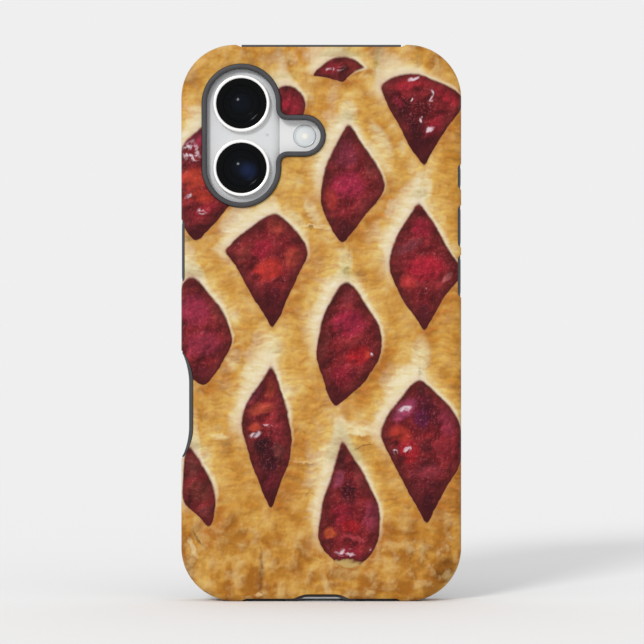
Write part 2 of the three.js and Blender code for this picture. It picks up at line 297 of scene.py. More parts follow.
def make_shell():
    """The hard shell, hollow and open at the front, with its openings cut through."""
    skin = plate(phone_outline(SHELL_GROWN), SHELL_FRONT_Y, SHELL_BACK_Y, soft_back=SHELL_EDGE, steps=10)
    shell = piece("printed_shell", skin)
    cutters = [
        plate(phone_outline(TRAY_GROWN + GAP), BEYOND, LINER_BACK_Y - GAP, soft_back=1.0, steps=5),
        plate(camera_outline(-0.08), 0, -BEYOND),
        *[side_window(*pad, GAP) for pad in side_pads()],
        scoop(-35.1, longer=0.4),
        tapered_gap(22.0, 23.5, 152.2, CASE_HEIGHT, 0),
        tapered_gap(20.6, 22.0, 0.76, 0, 0),
        block(-22.0, 22.0, -4.0, BEYOND, 151.1, 160),
        block(-20.6, 20.6, -4.0, BEYOND, -5, 1.8),
        tapered_gap(4.9, 9.2, 2.0, 0, 1.2),
    ]
    return finish_edges(cut_all(shell, cutters), 0.08)


def make_liner():
    """The soft liner: tray, lip round the screen, button pads, end strips and the scoop's edge."""
    tray = plate(phone_outline(TRAY_GROWN), SHELL_FRONT_Y + 0.5, LINER_BACK_Y, soft_back=1.0, steps=5)
    liner = piece("soft_liner", tray)
    lip = plate(phone_outline(SHELL_GROWN - 0.3), SHELL_FRONT_Y + GAP, LIP_Y)
    lip = cut_all(piece("lip", lip), [plate(phone_outline(SCREEN_OPENING), BEYOND, 0)])
    bm = bmesh.new()
    bm.from_mesh(lip.data)
    round_off(bm, rim_of(bm, LIP_Y), 0.6, 5)
    bm.to_mesh(lip.data)
    bm.free()
    combine(liner, lip, "UNION")

    # Each pad lies a little below the shell's skin, and a key on it stands proud of that.
    pad_grown = SHELL_GROWN - 0.25
    for side, z, length in side_pads():
        pad = piece("pad", side_window(side, z, length, -GAP))
        trim(pad, pad_grown, SHELL_FRONT_Y, SHELL_BACK_Y + 0.25)
        key_x = side * (CASE_HALF_WIDTH - 0.25 + 0.15)
        key = plate(pill(-0.6, z, 1.3, length / 2 - 0.9), -key_x, -key_x + side)
        combine(pad, piece("key", through_side(key)), "UNION")
        combine(liner, pad, "UNION")

    # The strips along both ends, and the two feet beside the plug's gap.
    for tool in (
        block(-21.9, 21.9, -3.9, 5.2, 151.2, CASE_HEIGHT),
        block(-20.5, 20.5, -3.9, 5.2, 0.5, 1.7),
        block(6.95, 9.6, -3.4, 5.35, 0, 1.3),
        block(-9.6, -6.95, -3.4, 5.35, 0, 1.3),
    ):
        combine(liner, trim(piece("strip", tool), SHELL_GROWN, LIP_Y, SHELL_BACK_Y), "UNION")

    edging = piece("edging", scoop(-35.2, longer=0.3))
    combine(liner, trim(edging, pad_grown, SHELL_FRONT_Y + 0.5, -4.87), "UNION")

    cutters = [
        plate(phone_outline(0.05), SCREEN_Y + GAP, GLASS_BACK_Y - GAP, soft_back=0.3, steps=2),
        plate(phone_outline(SCREEN_OPENING), BEYOND, 0),
        plate(camera_outline(1.2), 0, -BEYOND),
        scoop(-36.25),
        through_side(plate(pill(PORT_Y, SCOOP_Z, 2.25, 10.6), 50, 20)),
        tapered_gap(4.6, 6.95, 1.15, 0, 0.6),
        block(-6.3, 6.3, -2.0, SHELL_FRONT_Y + GAP, -5, 10),
        through_bottom(plate(pill(15.2, -PORT_Y, 4.6, 1.1), 10, -5)),
        through_bottom(plate(pill(-15.2, -PORT_Y, 4.6, 1.1), 10, -5)),
    ]
    return finish_edges(cut_all(liner, cutters), 0.09)


def make_camera_rim():
    """The liner's raised rim round the cameras and the flash, round-shouldered on both sides."""
    wall, foot_y = 1.35, -2.8
    bm = bmesh.new()
    outline(bm, camera_outline(0), RIM_Y)
    middle = bm.faces[:][0]
    bmesh.ops.inset_region(bm, faces=[middle], thickness=wall * MM, use_even_offset=True, use_boundary=True)
    bmesh.ops.delete(bm, geom=[middle], context="FACES_ONLY")
    extrude_along_y(bm, bm.faces[:], foot_y - RIM_Y)
    round_off(bm, rim_of(bm, RIM_Y), 0.45, 5)
    return finish_edges(piece("camera_rim", bm), 0)


def make_back_glass():
    """The white back glass with its raised plateau, whose shoulder falls away in a quarter of an ellipse."""
    sheet = plate(phone_outline(0), GLASS_BACK_Y + 0.8, GLASS_BACK_Y, soft_back=0.6, steps=4)
    sheet = piece("white_back_glass", sheet)
    bm = bmesh.new()
    radius = 10.5
    outline(bm, pill(LENS_X, LENS_MIDDLE_Z, radius, LENS_SPACING / 2 + radius), GLASS_BACK_Y + 0.3)
    top = bm.faces[:][0]
    steps = 12
    wide, high = 2.8, 1.4
    for i in range(steps):
        here = math.radians(90 * i / steps)
        there = math.radians(90 * (i + 1) / steps)
        inward = wide * (math.cos(here) - math.cos(there))
        outward = high * (math.sin(there) - math.sin(here))
        bmesh.ops.inset_region(
            bm, faces=[top], thickness=inward * MM, depth=outward * MM, use_even_offset=True, use_boundary=True
        )
    bmesh.ops.contextual_create(bm, geom=[e for e in bm.edges if e.is_boundary])
    bmesh.ops.recalc_face_normals(bm, faces=bm.faces)
    combine(sheet, piece("plateau", bm), "UNION")
    cutters = [
        plate(pill(FLASH_X, LENS_MIDDLE_Z, 3.15, 3.15), GLASS_BACK_Y + 0.45, -BEYOND),
        plate(pill(MICROPHONE_X, MICROPHONE_Z, 0.36, 0.36), GLASS_BACK_Y, -BEYOND),
    ]
    return finish_edges(cut_all(sheet, cutters), 0.06, sharper_than=60)


def make_phone_band():
    """The phone's metal body, seen through the case's slots, with its charging port and speaker holes."""
    band = piece("phone_band", plate(phone_outline(0), 4.25, GLASS_BACK_Y + 0.9))
    cutters = [
        through_bottom(plate(pill(0, -PORT_Y, 4.5, 1.65), BAND_FOOT_Z + 6.5, -5)),
        through_side(plate(pill(PORT_Y, SCOOP_Z, 1.6, 9.5), 50, 35.35)),
    ]
    for side in (-1, 1):
        for i in range(4):
            hole = plate(pill(side * (12.0 + 2.15 * i), -PORT_Y, 0.7, 0.7), BAND_FOOT_Z + 1.2, -5)
            cutters.append(through_bottom(hole))
    return finish_edges(cut_all(band, cutters), 0.08, sharper_than=60)


def make_screen_cover():
    """The cover glass over the whole front, with the earpiece's slit at the top."""
    cover = piece("screen_cover", plate(phone_outline(0), SCREEN_Y, SCREEN_Y - 0.8, soft_front=0.5, steps=5))
    slit = plate(pill(0, EARPIECE_Z, 5.2, 0.22), BEYOND, SCREEN_Y - 0.25)
    return finish_edges(cut_all(cover, [slit]), 0.04, sharper_than=60)


def make_camera_key():
    key = through_side(plate(pill(PORT_Y, SCOOP_Z, 1.5, 9.4), 35.75, 35.4, soft_front=0.12, steps=3))
    return finish_edges(piece("camera_key_cap", key), 0)


def turned(name, profile, x, z, steps=96):
    """Spins a profile of (radius, y) about the line along Y through (x, z)."""
    bm = bmesh.new()
    points = [bm.verts.new(((x + r) * MM, y * MM, z * MM)) for r, y in profile]
    edges = [bm.edges.new(pair) for pair in zip(points, points[1:])]
    axis = {"cent": (x * MM, 0, z * MM), "axis": (0, 1, 0)}
    bmesh.ops.spin(bm, geom=points + edges, **axis, angle=2 * math.pi, steps=steps, use_merge=True)
    bmesh.ops.remove_doubles(bm, verts=bm.verts, dist=1e-7)
    bmesh.ops.recalc_face_normals(bm, faces=bm.faces)
    made = piece(name, bm)
    made.data.shade_smooth()
    made.data.set_sharp_from_angle(angle=math.radians(28))
    return made


def arc(centre_r, centre_y, radius, start, end, steps=5):
    """Points on part of a circle in a profile, with its angles in degrees from outwards to the front."""
    turns = [math.radians(start + (end - start) * i / steps) for i in range(steps + 1)]
    return [(centre_r + radius * math.cos(t), centre_y + radius * math.sin(t)) for t in turns]


def make_lens(which, z):
    """A bright ring with a crowned top, and inside it the dark stepped barrel and its front element."""
    foot, top = PLATEAU_Y + 0.1, PLATEAU_Y - 1.7
    inner, outer, crown = 6.9, 7.8, 0.3
    ring = [(inner, foot), (outer, foot)]
    ring += arc(outer - crown, top + crown, crown, 0, -90)
    ring += arc(inner + crown, top + crown, crown, -90, -180)
    ring += [(inner, foot)]

    # The barrel steps down from its face to the edge of the domed front element. Each step is (radius, depth).
    face, wall = top + 0.25, 6.87
    steps_down = [(wall, 0), (5.15, 0), (5.05, 0.05), (4.95, 0.28), (4.3, 0.3)]
    steps_down += [(4.25, 0.5), (3.7, 0.52), (3.65, 0.75), (3.1, 0.8), (3.0, 0.72)]
    barrel = [(0, foot), (wall, foot)] + [(radius, face + depth) for radius, depth in steps_down]
    barrel += arc(0, face + 5.1, 5.3, -55.5, -90, 10)[1:]
    ring = turned("camera_ring_" + which, ring, LENS_X, z)
    return ring, turned("lens_barrel_" + which, barrel, LENS_X, z)


def make_flash():
    """The flash's domed cover in its shallow pocket."""
    foot = GLASS_BACK_Y + 0.4
    top = GLASS_BACK_Y - 0.15
    dome = [(3.05, 0.15), (2.95, 0.05), (2.75, 0.02), (2.6, 0.1), (2.45, 0.12), (1.6, 0.04), (0.8, 0), (0, -0.01)]
    profile = [(0, foot), (3.05, foot)] + [(radius, top + depth) for radius, depth in dome]
    return turned("flash_cover", profile, FLASH_X, LENS_MIDDLE_Z, 64)


def make_port_tongue():
    tongue = plate(pill(0, -PORT_Y, 3.4, 0.35), BAND_FOOT_Z + 6.6, BAND_FOOT_Z + 1.0)
    return finish_edges(piece("port_tongue", through_bottom(tongue)), 0.06)


def make_meshes():
    """Woven covers at the bottom of the small holes: microphone by the flash, and the earpiece slit."""
    microphone = plate(pill(MICROPHONE_X, MICROPHONE_Z, 0.34, 0.34), GLASS_BACK_Y + 0.2, PLATEAU_Y + 0.12)
    earpiece = plate(pill(0, EARPIECE_Z, 5.15, 0.2), SCREEN_Y - 0.12, SCREEN_Y - 0.5)
    covers = (("microphone_cover", microphone), ("earpiece_cover", earpiece))
    return [finish_edges(piece(name, cover), 0) for name, cover in covers]


# ------------------------------------------------------------------ materials


def colour(code):
    """An sRGB hex value as linear RGBA."""
    shares = [int(code[i : i + 2], 16) / 255 for i in (1, 3, 5)]
    return tuple(s / 12.92 if s <= 0.04045 else ((s + 0.055) / 1.055) ** 2.4 for s in shares) + (1.0,)


def fill(tree, node, inputs):
    """Gives a node's inputs, named or in their order, a value each or another node's output."""
    for socket, value in inputs.items() if isinstance(inputs, dict) else enumerate(inputs):
        if isinstance(value, bpy.types.NodeSocket):
            tree.links.new(value, node.inputs[socket])
        else:
            node.inputs[socket].default_value = value


def add(tree, kind, inputs=(), stops=(), out=0, **settings):
    """Adds a shader node with its settings and links, and gives one of its outputs."""
    node = tree.nodes.new("ShaderNode" + kind)
    for name, value in settings.items():
        setattr(node, name, value)
    fill(tree, node, inputs)
    if stops:
        marks = node.color_ramp.elements
        while len(marks) < len(stops):
            marks.new(0.5)
        for mark, (place, code) in zip(marks, stops):
            mark.position = place
            mark.color = colour(code)
    return node.outputs[out]


def new_material(name):
    """A material with its node tree cleared down to one Principled BSDF."""
    made = bpy.data.materials.new(name)
    made.use_nodes = True
    tree = made.node_tree
    tree.nodes.clear()
    surface = tree.nodes.new("ShaderNodeBsdfPrincipled")
    fill(tree, tree.nodes.new("ShaderNodeOutputMaterial"), [surface.outputs[0]])
    return made, tree, surface


def places_in_mm(tree):
    """Object coordinates in millimetres, so that a noise of scale 1/s has features s mm across."""
    where = add(tree, "TexCoord", out="Object")
    return add(tree, "VectorMath", {0: where, "Scale": 1 / MM}, operation="SCALE")


def distance_across(tree, where, x, z):
    """How far a spot lies from (x, z) when it is looked at square from the back or the front."""
    level = add(tree, "VectorMath", [where, (1, 0, 1)], operation="MULTIPLY")
    return add(tree, "VectorMath", [level, (x, 0, z)], operation="DISTANCE", out="Value")


def give(objects, material):
    for made in objects:
        made.data.materials.clear()
        made.data.materials.append(material)


# A Map Range node with this setting goes smoothly from one level to the other, and stays there beyond.
SOFT = {"interpolation_type": "SMOOTHSTEP", "clamp": False}

# A Mix node with this setting mixes two colours.
COLOURS = {"data_type": "RGBA", "out": 2}

# The openings in the printed lattice, through which the fruit shows. Each has four corners (x, z), clockwise
# from the top, how far each side bulges out from a straight line, clockwise from the upper right side, and
# how softly each corner is rounded.
LATTICE_WINDOWS = (
    ((4.6, 150.6), (12.0, 146.2), (6.2, 142.4), (-2.2, 143.9), (1.0, -0.8, -0.2, 0.9), (7.0, 0.8, 1.0, 0.8)),
    ((26.0, 146.2), (41.0, 137.4), (28.3, 118.8), (15.8, 141.2), (0.6, -1.2, 0.6, 0.8), (9.0, 2.0, 2.4, 1.6)),
    ((-9.5, 142.6), (-3.6, 136.4), (-8.6, 129.4), (-17.0, 137.0), (0.9, 0.6, 0.3, 0.3), (5.0, 4.0, 3.0, 2.0)),
    ((-26.0, 135.0), (-18.0, 116.0), (-34.6, 98.6), (-46.0, 117.0), (1.0, 0.4, 0.6, 1.2), (3.0, 3.0, 3.0, 3.0)),
    ((7.3, 131.2), (18.4, 114.4), (6.0, 98.0), (-1.4, 113.5), (0.5, 0.2, 1.4, 1.0), (2.4, 4.0, 2.0, 8.0)),
    ((-12.6, 107.2), (-3.2, 95.0), (-13.4, 74.4), (-26.6, 96.4), (1.4, -0.2, -0.4, 0.7), (3.0, 5.0, 2.2, 1.6)),
    ((26.8, 109.6), (39.0, 89.6), (28.4, 73.6), (17.4, 93.8), (0.5, -1.0, 0.8, 0.7), (1.8, 2.0, 2.6, 7.0)),
    ((-35.8, 90.2), (-23.8, 71.6), (-32.4, 58.6), (-46.0, 73.0), (1.6, 0.6, 1.0, 1.0), (5.0, 4.0, 3.0, 4.0)),
    ((7.0, 88.4), (17.6, 69.4), (3.6, 53.0), (-2.2, 71.0), (1.6, 1.4, 1.0, 1.4), (4.0, 5.0, 2.4, 7.0)),
    ((-13.6, 65.0), (-7.4, 44.5), (-13.8, 25.4), (-22.8, 49.8), (0.6, 0.7, 0.7, 0.4), (2.2, 5.0, 1.8, 4.0)),
    ((26.8, 61.4), (41.0, 42.0), (29.3, 20.8), (15.8, 46.8), (2.0, -0.6, 0.6, 0.8), (3.0, 3.0, 2.0, 3.0)),
    ((-36.2, 46.4), (-28.4, 28.6), (-30.6, 19.8), (-38.6, 27.0), (0.6, 0.6, -0.3, 0.5), (2.0, 4.0, 2.6, 4.0)),
    ((5.6, 44.4), (17.6, 20.8), (8.6, 8.0), (-1.8, 17.4), (1.2, 1.1, 1.0, 0.3), (2.0, 7.0, 7.0, 6.0)),
)

# Lumps of fruit in the print: middle (x, z), half length and half width, lean anticlockwise in degrees,
# colour, and how strongly it covers.
FRUIT_LUMPS = (
    (21.6, 135.6, 6.4, 3.4, -55, "#3E0C14", 0.9),
    (28.0, 126.0, 8.6, 4.4, -78, "#4A0E18", 0.85),
    (-14.0, 39.6, 8.4, 4.6, 85, "#3A0E18", 0.8),
    (28.6, 33.0, 8.0, 5.0, 90, "#5A1C24", 0.7),
    (27.6, 53.4, 5.0, 4.6, 0, "#4E1630", 0.7),
    (7.6, 30.0, 5.6, 3.0, 90, "#4E141E", 0.7),
    (2.5, 146.2, 3.5, 2.0, 20, "#A82438", 0.8),
    (8.6, 147.0, 3.0, 1.4, -25, "#B4443C", 0.7),
    (5.9, 143.6, 1.6, 0.9, 0, "#541420", 0.8),
    (25.0, 142.6, 8.0, 2.2, 12, "#B62A3C", 0.9),
    (34.0, 139.6, 5.5, 2.2, -35, "#A82236", 0.9),
    (23.8, 133.6, 5.2, 2.6, -58, "#450C18", 0.95),
    (27.6, 135.4, 4.4, 3.6, 0, "#4A0C12", 0.85),
    (20.3, 137.6, 3.0, 1.5, -40, "#A02440", 0.7),
    (26.2, 128.4, 4.4, 2.2, -65, "#3E0A16", 0.9),
    (31.0, 130.2, 4.6, 2.6, 55, "#9C2236", 0.9),
    (28.0, 122.4, 3.2, 1.8, 85, "#5A1A28", 0.8),
    (-8.0, 136.4, 4.0, 5.0, 0, "#A0253A", 0.9),
    (-34.2, 127.4, 4.6, 3.0, 40, "#B03A5C", 0.9),
    (-34.8, 116.2, 5.2, 3.6, 10, "#BA4630", 0.9),
    (-33.0, 111.4, 4.6, 2.6, -10, "#B03C2A", 0.9),
    (-31.2, 107.2, 4.6, 2.4, 15, "#8C2030", 0.85),
    (-34.2, 102.0, 2.8, 2.2, 0, "#561620", 0.9),
    (7.4, 127.6, 3.4, 1.8, 90, "#6A242C", 0.8),
    (6.4, 122.6, 5.0, 5.0, 0, "#7C3044", 0.85),
    (14.0, 118.6, 3.4, 2.4, -60, "#8A3C3A", 0.8),
    (7.4, 114.2, 6.0, 4.6, 0, "#A0284A", 0.9),
    (2.0, 110.6, 3.6, 2.6, -70, "#B84038", 0.9),
    (11.2, 108.8, 3.4, 2.2, 50, "#7A2A30", 0.7),
    (6.0, 102.4, 3.6, 2.4, -75, "#501620", 0.9),
    (-12.0, 103.2, 3.6, 3.2, 0, "#A44636", 0.8),
    (-20.6, 95.8, 4.6, 2.2, 30, "#8A3C34", 0.7),
    (-16.4, 96.6, 4.2, 3.0, 20, "#9C2038", 0.9),
    (-14.2, 91.4, 5.0, 3.6, 10, "#BC3A30", 0.9),
    (-7.6, 94.6, 3.0, 3.6, 0, "#B04A38", 0.8),
    (-13.6, 83.6, 4.6, 3.0, -80, "#641824", 0.85),
    (28.0, 102.8, 4.4, 3.4, 0, "#98203A", 0.9),
    (23.4, 97.4, 5.4, 2.0, 25, "#80404A", 0.75),
    (28.6, 91.6, 6.6, 4.2, 5, "#AC2038", 0.95),
    (23.8, 87.4, 3.2, 2.6, -50, "#BA3C3A", 0.85),
    (34.4, 88.6, 1.6, 1.0, 30, "#D08080", 0.7),
    (28.0, 79.4, 3.8, 2.4, 90, "#581828", 0.85),
    (-35.4, 80.0, 7.0, 5.6, 0, "#9C3250", 0.85),
    (-28.2, 79.4, 4.2, 2.2, -60, "#A24A46", 0.7),
    (-32.4, 70.6, 6.4, 4.6, 0, "#903048", 0.85),
    (-33.0, 62.8, 4.4, 2.2, 0, "#681A2A", 0.9),
    (7.4, 83.4, 3.4, 2.2, 80, "#84343C", 0.8),
    (7.6, 76.4, 5.6, 4.6, 0, "#9A2444", 0.9),
    (1.0, 70.4, 5.4, 1.6, 85, "#70302C", 0.8),
    (10.2, 67.6, 4.2, 3.0, 10, "#B0202A", 0.9),
    (12.8, 67.8, 1.8, 1.2, -30, "#CC4A34", 0.8),
    (5.6, 62.2, 5.0, 3.4, 40, "#7E162C", 0.85),
    (4.4, 56.8, 2.6, 2.0, -60, "#4C0E18", 0.9),
    (-14.0, 58.4, 3.2, 2.0, 80, "#A24430", 0.85),
    (-18.4, 56.4, 3.4, 1.2, 60, "#B0506C", 0.6),
    (-16.4, 53.0, 4.6, 2.2, 20, "#B4523A", 0.9),
    (-18.4, 47.6, 2.2, 1.8, 0, "#C4543A", 0.9),
    (-11.6, 47.0, 2.6, 3.8, 0, "#8C2C38", 0.8),
    (-16.4, 42.6, 3.8, 3.4, 0, "#2C0A16", 0.95),
    (-12.0, 41.2, 2.2, 3.0, 0, "#7C4440", 0.7),
    (-14.4, 37.6, 3.4, 2.0, -20, "#36101E", 0.85),
    (-13.8, 32.0, 3.8, 2.2, 85, "#7E2238", 0.8),
    (27.8, 58.0, 1.8, 2.4, 0, "#3A1018", 0.9),
    (22.6, 52.6, 5.0, 2.8, 50, "#B4527E", 0.85),
    (27.4, 50.0, 2.6, 3.4, 0, "#581846", 0.85),
    (30.4, 51.4, 2.6, 4.4, 15, "#4E1020", 0.85),
    (34.6, 49.4, 3.0, 5.4, 20, "#9C3852", 0.8),
    (21.6, 45.8, 4.2, 2.8, -20, "#B43E2E", 0.9),
    (24.2, 41.8, 3.6, 3.6, 0, "#A01A28", 0.9),
    (28.6, 43.0, 2.4, 3.0, 0, "#4E1018", 0.85),
    (33.8, 42.4, 4.0, 3.6, 0, "#862832", 0.8),
    (28.8, 35.4, 6.0, 2.2, 10, "#8A3440", 0.8),
    (29.4, 26.6, 4.4, 2.4, 90, "#421020", 0.9),
    (-35.0, 37.6, 2.4, 4.4, 0, "#70403A", 0.8),
    (-33.4, 30.4, 4.4, 4.0, 0, "#743A30", 0.85),
    (-31.8, 24.6, 2.6, 2.4, 0, "#8A4444", 0.8),
    (5.4, 38.4, 1.8, 3.6, 0, "#4A1820", 0.85),
    (4.6, 33.8, 1.6, 3.2, -10, "#AA5474", 0.8),
    (10.8, 34.2, 4.4, 2.0, -70, "#8C3C3C", 0.8),
    (7.4, 30.6, 2.4, 2.8, 0, "#3C0C18", 0.9),
    (6.0, 24.2, 4.0, 3.4, 0, "#8C1C32", 0.85),
    (14.0, 23.4, 2.8, 5.4, 10, "#A0405C", 0.8),
    (8.4, 20.8, 3.4, 2.2, 0, "#9E1A22", 0.9),
    (2.6, 19.0, 2.6, 1.9, -15, "#C45E32", 0.95),
    (9.2, 17.4, 3.6, 1.2, -10, "#BC4C58", 0.8),
    (7.2, 13.0, 5.4, 2.4, 0, "#8E1838", 0.85),
    (1.6, 16.4, 1.8, 0.8, -20, "#4E1820", 0.7),
)

# Wet highlights on the fruit: middle (x, z), half length, half width and lean.
WET_GLINTS = (
    (5.2, 146.0, 1.4, 1.0, 40),
    (2.4, 145.8, 1.4, 0.7, 0),
    (25.4, 143.4, 1.8, 0.6, 10),
    (24.5, 137.2, 1.1, 0.4, 50),
    (30.3, 138.6, 0.6, 3.0, 0),
    (29.8, 129.8, 1.6, 1.0, 40),
    (27.4, 132.0, 0.5, 1.0, 0),
    (-36.0, 123.4, 3.4, 3.6, 0),
    (-32.6, 107.0, 1.8, 1.2, 10),
    (-36.6, 111.2, 1.0, 0.8, 0),
    (28.4, 84.9, 0.6, 1.0, -20),
    (-10.0, 88.6, 0.5, 0.7, 0),
    (-22.0, 98.4, 0.6, 0.4, 0),
    (13.9, 67.7, 0.5, 0.8, 0),
    (-18.4, 45.6, 2.0, 0.9, 10),
    (-14.2, 48.6, 1.6, 0.8, 0),
    (22.8, 52.6, 2.6, 1.4, 30),
    (23.8, 42.0, 1.6, 1.0, 60),
    (20.4, 41.0, 0.9, 1.0, 0),
    (6.6, 13.6, 3.2, 1.4, -10),
    (13.4, 14.6, 0.5, 0.5, 0),
)

# Marks on the pastry: middle (x, z), half length, half width, lean, colour and strength. First the toasted
# and the pale patches of the strands, then creases, cracks and pleats.
PASTRY_MARKS = (
    (-23.6, 104.6, 7.0, 3.6, 38, "#EBDEB4", 0.75),
    (27.6, 113.6, 3.2, 5.6, 0, "#E6DFB8", 0.6),
    (-13.4, 69.4, 2.4, 5.4, 0, "#E8DDAE", 0.75),
    (27.4, 67.4, 3.4, 6.4, 0, "#E6DBAA", 0.7),
    (-2.4, 107.0, 5.6, 2.0, -62, "#E6DAAA", 0.6),
    (-24.6, 66.0, 5.4, 2.2, 48, "#E8DDAE", 0.55),
    (-37.0, 95.0, 3.0, 5.0, 0, "#E9DFB4", 0.6),
    (22.4, 61.0, 6.0, 3.4, 42, "#EDE2B6", 0.75),
    (9.6, 47.8, 5.6, 2.8, 5, "#ECE0B0", 0.7),
    (-19.6, 63.0, 5.0, 2.8, 50, "#E8DCAC", 0.6),
    (16.6, 126.4, 7.0, 2.4, -60, "#E3D3A0", 0.6),
    (-6.4, 103.6, 6.0, 2.4, -60, "#E0CC94", 0.5),
    (7.4, 134.6, 3.0, 4.0, 0, "#E9DDB0", 0.6),
    (6.4, 93.0, 2.6, 5.0, -8, "#E0D49E", 0.75),
    (6.9, 90.4, 1.2, 2.2, 0, "#A4965A", 0.7),
    (1.4, 140.2, 5.5, 3.6, 0, "#C98F3E", 0.55),
    (1.6, 134.8, 3.8, 4.6, 0, "#C4802C", 0.6),
    (1.8, 125.6, 3.0, 3.4, 0, "#CB9140", 0.5),
    (-4.6, 136.4, 2.4, 1.6, 30, "#E9D79E", 0.7),
    (-5.2, 150.0, 6.8, 4.0, 0, "#C48220", 1.0),
    (-28.6, 148.8, 6.0, 4.0, 25, "#CF9C48", 0.5),
    (-36.0, 136.0, 3.4, 4.4, 0, "#DDA85E", 0.5),
    (-34.6, 131.4, 3.4, 1.6, 0, "#EBDDB0", 0.6),
    (21.6, 150.4, 6.0, 3.0, 0, "#D29E4C", 0.5),
    (33.6, 145.2, 3.6, 3.0, -40, "#C89340", 0.4),
    (35.6, 129.0, 3.6, 8.0, -20, "#C7923F", 0.5),
    (20.4, 115.8, 4.6, 3.0, 10, "#CFA24E", 0.5),
    (17.0, 108.8, 3.8, 4.8, -30, "#BA7424", 0.7),
    (12.2, 102.8, 3.4, 4.6, -35, "#C98E3C", 0.55),
    (12.4, 95.6, 2.6, 4.0, 0, "#CB9140", 0.45),
    (-0.8, 97.0, 3.6, 3.4, 0, "#CC9344", 0.5),
    (-3.2, 89.6, 3.2, 4.2, -25, "#C88C3A", 0.5),
    (-9.4, 81.6, 2.6, 4.2, -20, "#D0994A", 0.45),
    (-29.6, 95.6, 2.8, 4.6, 25, "#C98E3C", 0.5),
    (-25.4, 88.0, 2.6, 4.6, 30, "#CF984A", 0.5),
    (-21.2, 79.4, 3.0, 4.6, 20, "#D6A352", 0.45),
    (33.8, 81.6, 3.2, 6.0, -40, "#BE7F2E", 0.6),
    (15.2, 85.8, 2.6, 6.0, 25, "#CE9848", 0.4),
    (-3.4, 113.0, 3.0, 4.6, 0, "#CF9A4A", 0.4),
    (-25.6, 60.6, 4.6, 4.0, 30, "#C98E3C", 0.5),
    (-27.0, 52.0, 3.6, 3.6, 0, "#CE9444", 0.45),
    (-1.4, 53.4, 5.6, 4.4, 10, "#C5883A", 0.5),
    (10.6, 55.6, 3.4, 4.4, -40, "#C68836", 0.55),
    (11.2, 49.4, 4.4, 2.0, 10, "#CF984A", 0.45),
    (-5.6, 66.6, 3.0, 5.0, 20, "#D49F4E", 0.4),
    (-24.0, 36.0, 3.4, 3.6, 0, "#CB9140", 0.4),
    (-8.0, 28.0, 3.6, 4.6, -20, "#CE9848", 0.4),
    (19.6, 34.0, 2.8, 5.4, 25, "#D0A058", 0.4),
    (-26.0, 15.6, 6.6, 4.4, -15, "#B8802E", 0.55),
    (-7.0, 17.6, 5.6, 4.4, 0, "#C18632", 0.2),
    (-6.0, 6.0, 5.6, 4.0, 0, "#B87C2E", 0.3),
    (21.6, 8.0, 4.6, 4.4, 0, "#BE8636", 0.45),
    (34.0, 8.8, 5.6, 3.4, 60, "#6E3E04", 0.85),
    (30.6, 4.4, 4.4, 2.4, 30, "#8E5A1C", 0.6),
    (34.6, 26.0, 2.6, 8.0, -10, "#B8873E", 0.5),
    (-33.6, 19.8, 2.8, 4.2, 0, "#BFA066", 0.75),
    (6.6, 7.6, 4.4, 2.0, 0, "#C4A468", 0.75),
    (15.6, 147.4, 1.7, 6.4, -4, "#A08A48", 0.6),
    (-19.6, 148.6, 0.5, 4.4, 4, "#A87E38", 0.6),
    (-9.0, 149.6, 0.5, 3.4, 0, "#9C722E", 0.7),
    (-16.6, 8.0, 1.5, 8.4, 0, "#96602A", 0.6),
    (-16.5, 7.4, 0.65, 8.2, 0, "#7A4A1A", 0.7),
    (-17.0, 1.6, 1.2, 0.9, 0, "#E2C08A", 0.7),
    (-33.6, 16.8, 0.5, 4.0, 38, "#6E4A22", 0.7),
    (-35.4, 14.8, 1.0, 3.4, 25, "#E2C892", 0.75),
    (-36.4, 10.0, 0.5, 3.4, 8, "#6E4A22", 0.6),
    (27.9, 13.0, 0.9, 6.6, 2, "#A06E2C", 0.5),
    (1.4, 4.2, 1.2, 5.0, 18, "#E0BE7E", 0.5),
    (-5.4, 37.8, 5.4, 0.4, -9, "#9A6C2C", 0.65),
    (-5.4, 38.6, 5.0, 0.5, -9, "#EBD9A6", 0.5),
    (-2.8, 31.4, 0.3, 5.0, -28, "#A87A3A", 0.55),
    (11.6, 42.6, 4.6, 0.35, 20, "#7E5420", 0.75),
    (11.2, 46.6, 3.8, 1.8, 10, "#EFE4B4", 0.6),
    (-25.4, 42.6, 3.8, 0.4, -6, "#AC8040", 0.55),
    (-27.6, 45.2, 3.4, 1.4, -10, "#EAD6A0", 0.55),
    (26.9, 62.6, 0.45, 2.2, 0, "#6E5A2C", 0.7),
    (-0.8, 102.8, 5.0, 0.5, -6, "#EFE3B6", 0.6),
    (-3.0, 102.4, 0.8, 0.5, 0, "#9C7A34", 0.6),
    (21.2, 121.6, 3.2, 0.4, 4, "#B58C48", 0.5),
    (7.6, 96.4, 0.4, 3.4, -8, "#A8853E", 0.35),
    (-36.4, 99.6, 2.0, 0.8, 10, "#4E3A20", 0.6),
)

# A patch of pastry is broad if its half length and half width are both more than this.
WIDE_MARK = 2.2


def bulging_side(start, end, bulge):
    """The circle whose arc joins two corners and stands `bulge` outside the straight line between them."""
    (x0, z0), (x1, z1) = start, end
    length = math.hypot(x1 - x0, z1 - z0)
    radius = (length**2 / 4 + bulge**2) / (2 * abs(bulge))
    outwards = ((z0 - z1) / length, (x1 - x0) / length)
    back = math.copysign(radius - abs(bulge), bulge)
    centre = ((x0 + x1) / 2 - outwards[0] * back, 0, (z0 + z1) / 2 - outwards[1] * back)
    return centre, radius


